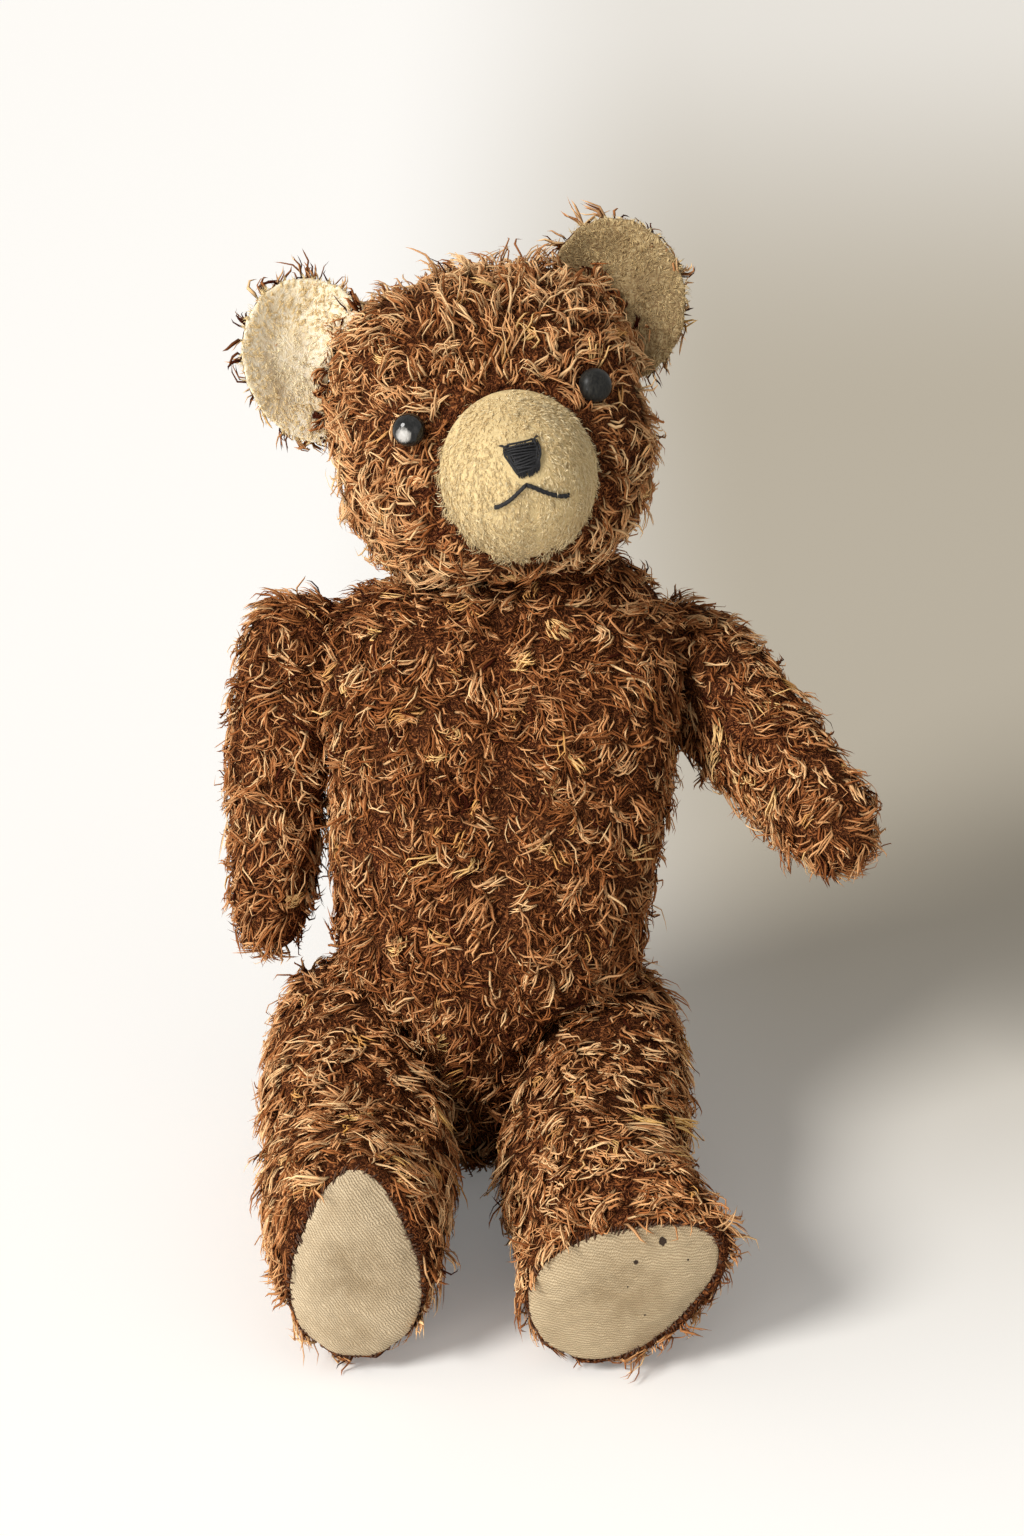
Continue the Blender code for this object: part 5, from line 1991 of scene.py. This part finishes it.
@dataclass
class Ear:
    """A cupped ear of two layers: a shaggy back and a shorn lining."""

    side: Side
    head: Head
    seed: int
    voxel: float = 1.25 * MM
    tuft_density: float = 0.36
    tuft_length: float = 7.8 * MM
    tuft_radius: float = 0.29 * MM
    nap_density: float = 2.4
    fringe_density: float = 0.8
    fringe_length: float = 6.0 * MM
    fringe_radius: float = 0.31 * MM

    def build(self) -> None:
        """Build both layers and their piles."""
        self.layer("back", "ground")
        # The left lining's cloth is darkened by dirt and painted shade.
        self.layer("lining", "soiled_shaded_ground" if self.side is Side.LEFT else "pale_ground")

    def layer(self, which: str, ground: str) -> None:
        """Build one layer.

        Args:
            which: back or lining.
            ground: Its cloth's finish.
        """
        node = f"ear_{which}_{self.side.word}"
        piece = remeshed_copy(node, f"{node}_cloth", self.voxel, ground)
        modify(piece, "SMOOTH", iterations=5, factor=0.5)
        places = coordinates(piece.data)
        crumple = 0.8 * MM * billow(places, 11.0 * MM, self.seed + 2.0)
        move_vertices(piece.data, places - np.array(self.head.back) * crumple[:, None])
        settle_in(piece, self.head.body, node)
        self.pile(which, piece)

    def pile(self, which: str, piece: Piece) -> None:
        """Grow one layer's pile on its shown side.

        Args:
            which: back or lining.
            piece: The layer's cloth.
        """
        front = -np.array(self.head.back)
        centre = coordinates(piece.data).mean(0)
        area = cloth_area(piece.data) / MM ** 2
        behind = which == "back"

        def trim(places: Rows, normals: Rows) -> Rows:
            """Keep the pile off the side that lies against the other layer."""
            toward = normals @ front
            kept = toward < 0.35 if behind else toward > 0.25
            outside = np.zeros(len(places), bool)
            for index, place in enumerate(places):
                near, normal, _, gap = self.head.tree.find_nearest(Vector(place))
                outside[index] = gap > 0.8 * MM and (Vector(place) - near).dot(normal) > 0.0
            return np.where(kept & outside, 1.0, 0.0)

        def lie(places: Rows, normals: Rows) -> Rows:
            """Return the way that the pile lies: outward from the ear's middle."""
            drift = 0.7 * np.array(self.head.back) if behind else -0.3 * np.array(self.head.up)
            return unit(places - centre) + drift

        def keep(places: Rows) -> Rows:
            """Return the share of pile left."""
            worn = billow(places, 12.0 * MM, self.seed + 31.0)
            return 1.0 - 0.5 * ease(worn, 0.2, 0.3)

        if behind:
            coat = Coat(f"ear_back_{self.side.word}_fur", "fur", int(area * self.tuft_density),
                        self.tuft_length, self.tuft_radius, lie, keep, trim, self.seed + 51, clump=6,
                        lift=0.32, tone=0.42, standing=0.12)
        else:
            self.fringe(piece, area)
            # The left lining's nap is darker, by dirt and painted shade.
            finish, tone = ("cream", 0.68) if self.side is Side.LEFT else ("pale", 0.9)
            coat = Coat(f"ear_lining_{self.side.word}_nap", finish, int(area * self.nap_density),
                        self.head.nap_length, self.head.nap_radius, lie, keep, trim, self.seed + 71,
                        clump=4, swirl=0.6, swirl_size=10.0 * MM, tone=tone, tone_spread=0.07,
                        gather=0.4, stain=self.stain, **NAP)
        settle_in(coat.grow(piece.data), self.head.body)

    def stain(self, places: Rows) -> Rows:
        """Return how much the lining's nap is darkened: dirt toward the rim of the right ear, and dirt
        all over the left ear with painted shade darkest low down and toward the head.
        """
        if self.side is Side.RIGHT:
            apart = np.linalg.norm(places - np.array(box_centre("ear_lining_right")), axis=1)
            cloud = 0.3 * billow(places, 6.0 * MM, 77.0)
            return np.clip((apart - 8.0 * MM) / (9.0 * MM) + cloud, 0.0, 0.5)
        # Painted shade on the left ear: darker low down and toward the head, which shades it; the clouds
        # are dirt.
        low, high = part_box("ear_lining_left")
        rise = (places[:, 2] - low[2]) / (high[2] - low[2])
        inner = (high[0] - places[:, 0]) / (high[0] - low[0])
        cloud = billow(places, 8.0 * MM, 79.0)
        return np.clip(0.42 + 0.35 * inner + 0.25 * (0.5 - rise) + 0.4 * cloud, 0.2, 0.9)

    def fringe(self, piece: Piece, area: float) -> None:
        """Grow the head's brown pile over the lining's inner edge.

        Args:
            piece: The lining's cloth.
            area: Its area in square millimetres.
        """
        front = -np.array(self.head.back)

        def trim(places: Rows, normals: Rows) -> Rows:
            """Keep to the front."""
            return np.where(normals @ front > -0.2, 1.0, 0.0)

        def keep(places: Rows) -> Rows:
            """Return 1 near the head's cloth, fading to 0 a few millimetres from it."""
            gaps = np.array([self.head.tree.find_nearest(Vector(p))[3] for p in places])
            return ease(gaps, 5.5 * MM, -3.0 * MM)

        def lie(places: Rows, normals: Rows) -> Rows:
            """Return the way that the pile lies: up and outward over the lining."""
            way = np.array(self.head.left) * (0.8 * self.side.value) + np.array(self.head.up) * 0.3
            return way + np.zeros_like(places)

        coat = Coat(f"ear_fringe_{self.side.word}", "fur", int(area * self.fringe_density),
                    self.fringe_length, self.fringe_radius, lie, keep, trim, self.seed + 91, tone=0.45)
        settle_in(coat.grow(piece.data), self.head.body)


# ---------------------------------------------------------------- hidden hardware


def dress_hardware() -> None:
    """Give the discs, washers, pins and eye shanks their finishes."""
    for name, node in frame["nodes"].items():
        finish = "hardboard" if "_disc_" in name else "steel"
        if not any(word in name for word in ("_disc_", "_washer_", "_pin", "shank")):
            continue
        for slot in node.material_slots:
            slot.material = dress(finish)


# ---------------------------------------------------------------- the studio


@dataclass
class Studio:
    """A flat pale floor, soft lamps from the upper left, and the camera."""

    aim: Vector = field(default_factory=lambda: Vector((0.011, 0.010, 0.124)))
    elevation: float = 27.0
    distance: float = 1.088
    lens: float = 85.0
    key_from: Vector = field(default_factory=lambda: Vector((-0.86, -0.56, 0.80)))
    key_power: float = 3.1
    floor_glow: float = 0.16
    floor_light: Colour = (0.87, 0.86, 0.84)
    # The colour of the shadow painted on the floor.
    floor_dark: Colour = (0.42, 0.38, 0.31)
    room_light: Colour = (1.0, 0.98, 0.95)
    room_power: float = 0.36
    room_seen: Colour = (0.93, 0.93, 0.92)

    def build(self) -> None:
        """Build all of it."""
        self.camera()
        self.floor()
        self.lamps()

    def hang(self, name: str, data: bpy.types.ID, place: Vector, toward: Vector) -> Piece:
        """Put a lamp or the camera at a place, turned toward a direction."""
        found = bpy.data.objects.new(name, data)
        bpy.context.scene.collection.objects.link(found)
        found.location = place
        found.rotation_euler = toward.to_track_quat("-Z", "Y").to_euler()
        return found

    def camera(self) -> None:
        """Place the camera."""
        data = bpy.data.cameras.new("camera")
        data.lens = self.lens
        data.sensor_width = 36.0
        data.clip_start = 0.01
        tilt = math.radians(self.elevation)
        away = Vector((0.0, -math.cos(tilt), math.sin(tilt))) * self.distance
        bpy.context.scene.camera = self.hang("camera", data, self.aim + away, -away)

    def floor(self) -> None:
        """Build the floor, white on the left, with a warm-grey shadow painted to the right of the bear
        and behind it.
        """
        rows = np.array([(-5.0, -5.0, 0.0), (5.0, -5.0, 0.0), (5.0, 5.0, 0.0), (-5.0, 5.0, 0.0)])
        mesh = mesh_from("floor", rows, np.arange(4), [4])
        material = bpy.data.materials.new("pale_floor")
        material.use_nodes = True
        tree = material.node_tree
        shader = tree.nodes["Principled BSDF"]
        parts = give(tree, add_node(tree, "ShaderNodeSeparateXYZ"), Vector=object_place(tree))
        # Painted shadow: the floor darkens to the bear's right and behind it, and lightens again far
        # back.
        right, near, far = (climb(tree, parts.outputs[axis], low, high, "SMOOTHSTEP")
                            for axis, low, high in (("X", -0.08, 0.12), ("Y", -0.24, 0.20),
                                                    ("Y", 0.6, 1.35)))
        painted_shadow = times(tree, times(tree, right, near), scaled(tree, far, -0.62, 1.0))
        shade = mix_colours(tree, painted_shadow, self.floor_light, self.floor_dark)
        give(tree, shader, Roughness=0.9, Specular_IOR_Level=0.1, Base_Color=shade, Emission_Color=shade,
             Emission_Strength=times(tree, self.seen(tree), self.floor_glow))
        make_object("floor", mesh, material)

    def seen(self, tree: Tree) -> Socket:
        """Return 1 for what the camera sees, straight, in gloss or through glass."""
        path = add_node(tree, "ShaderNodeLightPath").outputs
        seen = maths(tree, "MAXIMUM", path["Is Camera Ray"], path["Is Glossy Ray"])
        return maths(tree, "MAXIMUM", seen, path["Is Transmission Ray"])

    def lamp(self, name: str, place: tuple[float, float, float], size: float, power: float,
             colour: Colour) -> None:
        """Add one soft lamp aimed at the bear.

        Args:
            name: Its name.
            place: Where it hangs.
            size: The side of its square.
            power: Its power in watts.
            colour: Its colour.
        """
        data = bpy.data.lights.new(name, "AREA")
        data.size = size
        data.energy = power
        data.color = colour
        self.hang(name, data, Vector(place), self.aim - Vector(place))

    def lamps(self) -> None:
        """Hang the lamps and set the room's own light."""
        data = bpy.data.lights.new("key", "SUN")
        data.energy = self.key_power
        data.angle = math.radians(22.0)
        data.color = (1.0, 0.985, 0.96)
        self.hang("key", data, Vector(), -self.key_from)
        self.lamp("fill", (1.2, -1.4, 0.8), 1.2, 2.0, (1.0, 0.96, 0.91))
        self.lamp("window", (-0.70, -0.90, 0.17), 0.28, 4.2, (1.0, 0.99, 0.97))
        world = bpy.data.worlds.new("room")
        world.use_nodes = True
        bpy.context.scene.world = world
        tree = world.node_tree
        light = give(tree, tree.nodes["Background"], Color=self.room_light, Strength=self.room_power)
        pale = give(tree, add_node(tree, "ShaderNodeBackground"), Color=self.room_seen)
        both = add_node(tree, "ShaderNodeMixShader")
        link(tree, self.seen(tree), both.inputs[0])
        link(tree, light.outputs[0], both.inputs[1])
        link(tree, pale.outputs[0], both.inputs[2])
        give(tree, tree.nodes["World Output"], Surface=both.outputs[0])


def main() -> None:
    """Build the bear's looks and the studio."""
    logging.basicConfig(level=logging.INFO, format="%(message)s")
    GROUPS.update(strand_tone=strand_tone_group(), grime=grime_group(), weave=weave_group(),
                  lying_fibres=lying_fibres_group())
    view = bpy.context.scene.view_settings
    view.view_transform = "Standard"
    Studio().build()
    torso = Torso("torso", "torso", ("neck_swivel", "shoulder_left_swing", "shoulder_right_swing",
                                     "hip_left_swing", "hip_right_swing"), 1)
    head = Head("head", "head", ("neck_swivel",), 2, fur_tone=0.65, upright=1.0, standing=0.07)
    arms = [Limb(f"arm_{side.word}", f"arm_{side.word}", (f"shoulder_{side.word}_swing",), 3 + index,
                 fur_tone=0.47, swirl=0.7) for index, side in enumerate(Side)]
    legs = [Leg(f"leg_{side.word}", f"leg_{side.word}", (f"hip_{side.word}_swing",), 5 + index, side=side,
                fur_tone=0.56, swirl=0.5, fur_length=9.6 * MM, pad_finish=pad, pad_taper=taper)
            for index, (side, pad, taper) in enumerate(((Side.LEFT, "holed_twill", 0.12),
                                                        (Side.RIGHT, "twill", 0.18)))]
    parts: list[SoftPart] = [torso, head, *arms, *legs]
    for part in parts:
        part.shape()
    for part in parts:
        part.cover()
        part.coats([other for other in parts if other is not part])
        part.stuff()
        LOG.info("%s built, %.0f cm2 of cloth", part.name, part.area * 1e4)
    head.muzzle()
    head.nose()
    head.mouth()
    head.eye(Side.RIGHT, "bright_eye")
    head.eye(Side.LEFT, "dull_eye")
    for side in Side:
        Ear(side, head, 11 + side.value).build()
    for leg in legs:
        leg.pad()
    for part in parts:
        part.finish()
    dress_hardware()


if __name__ == "__main__":
    main()
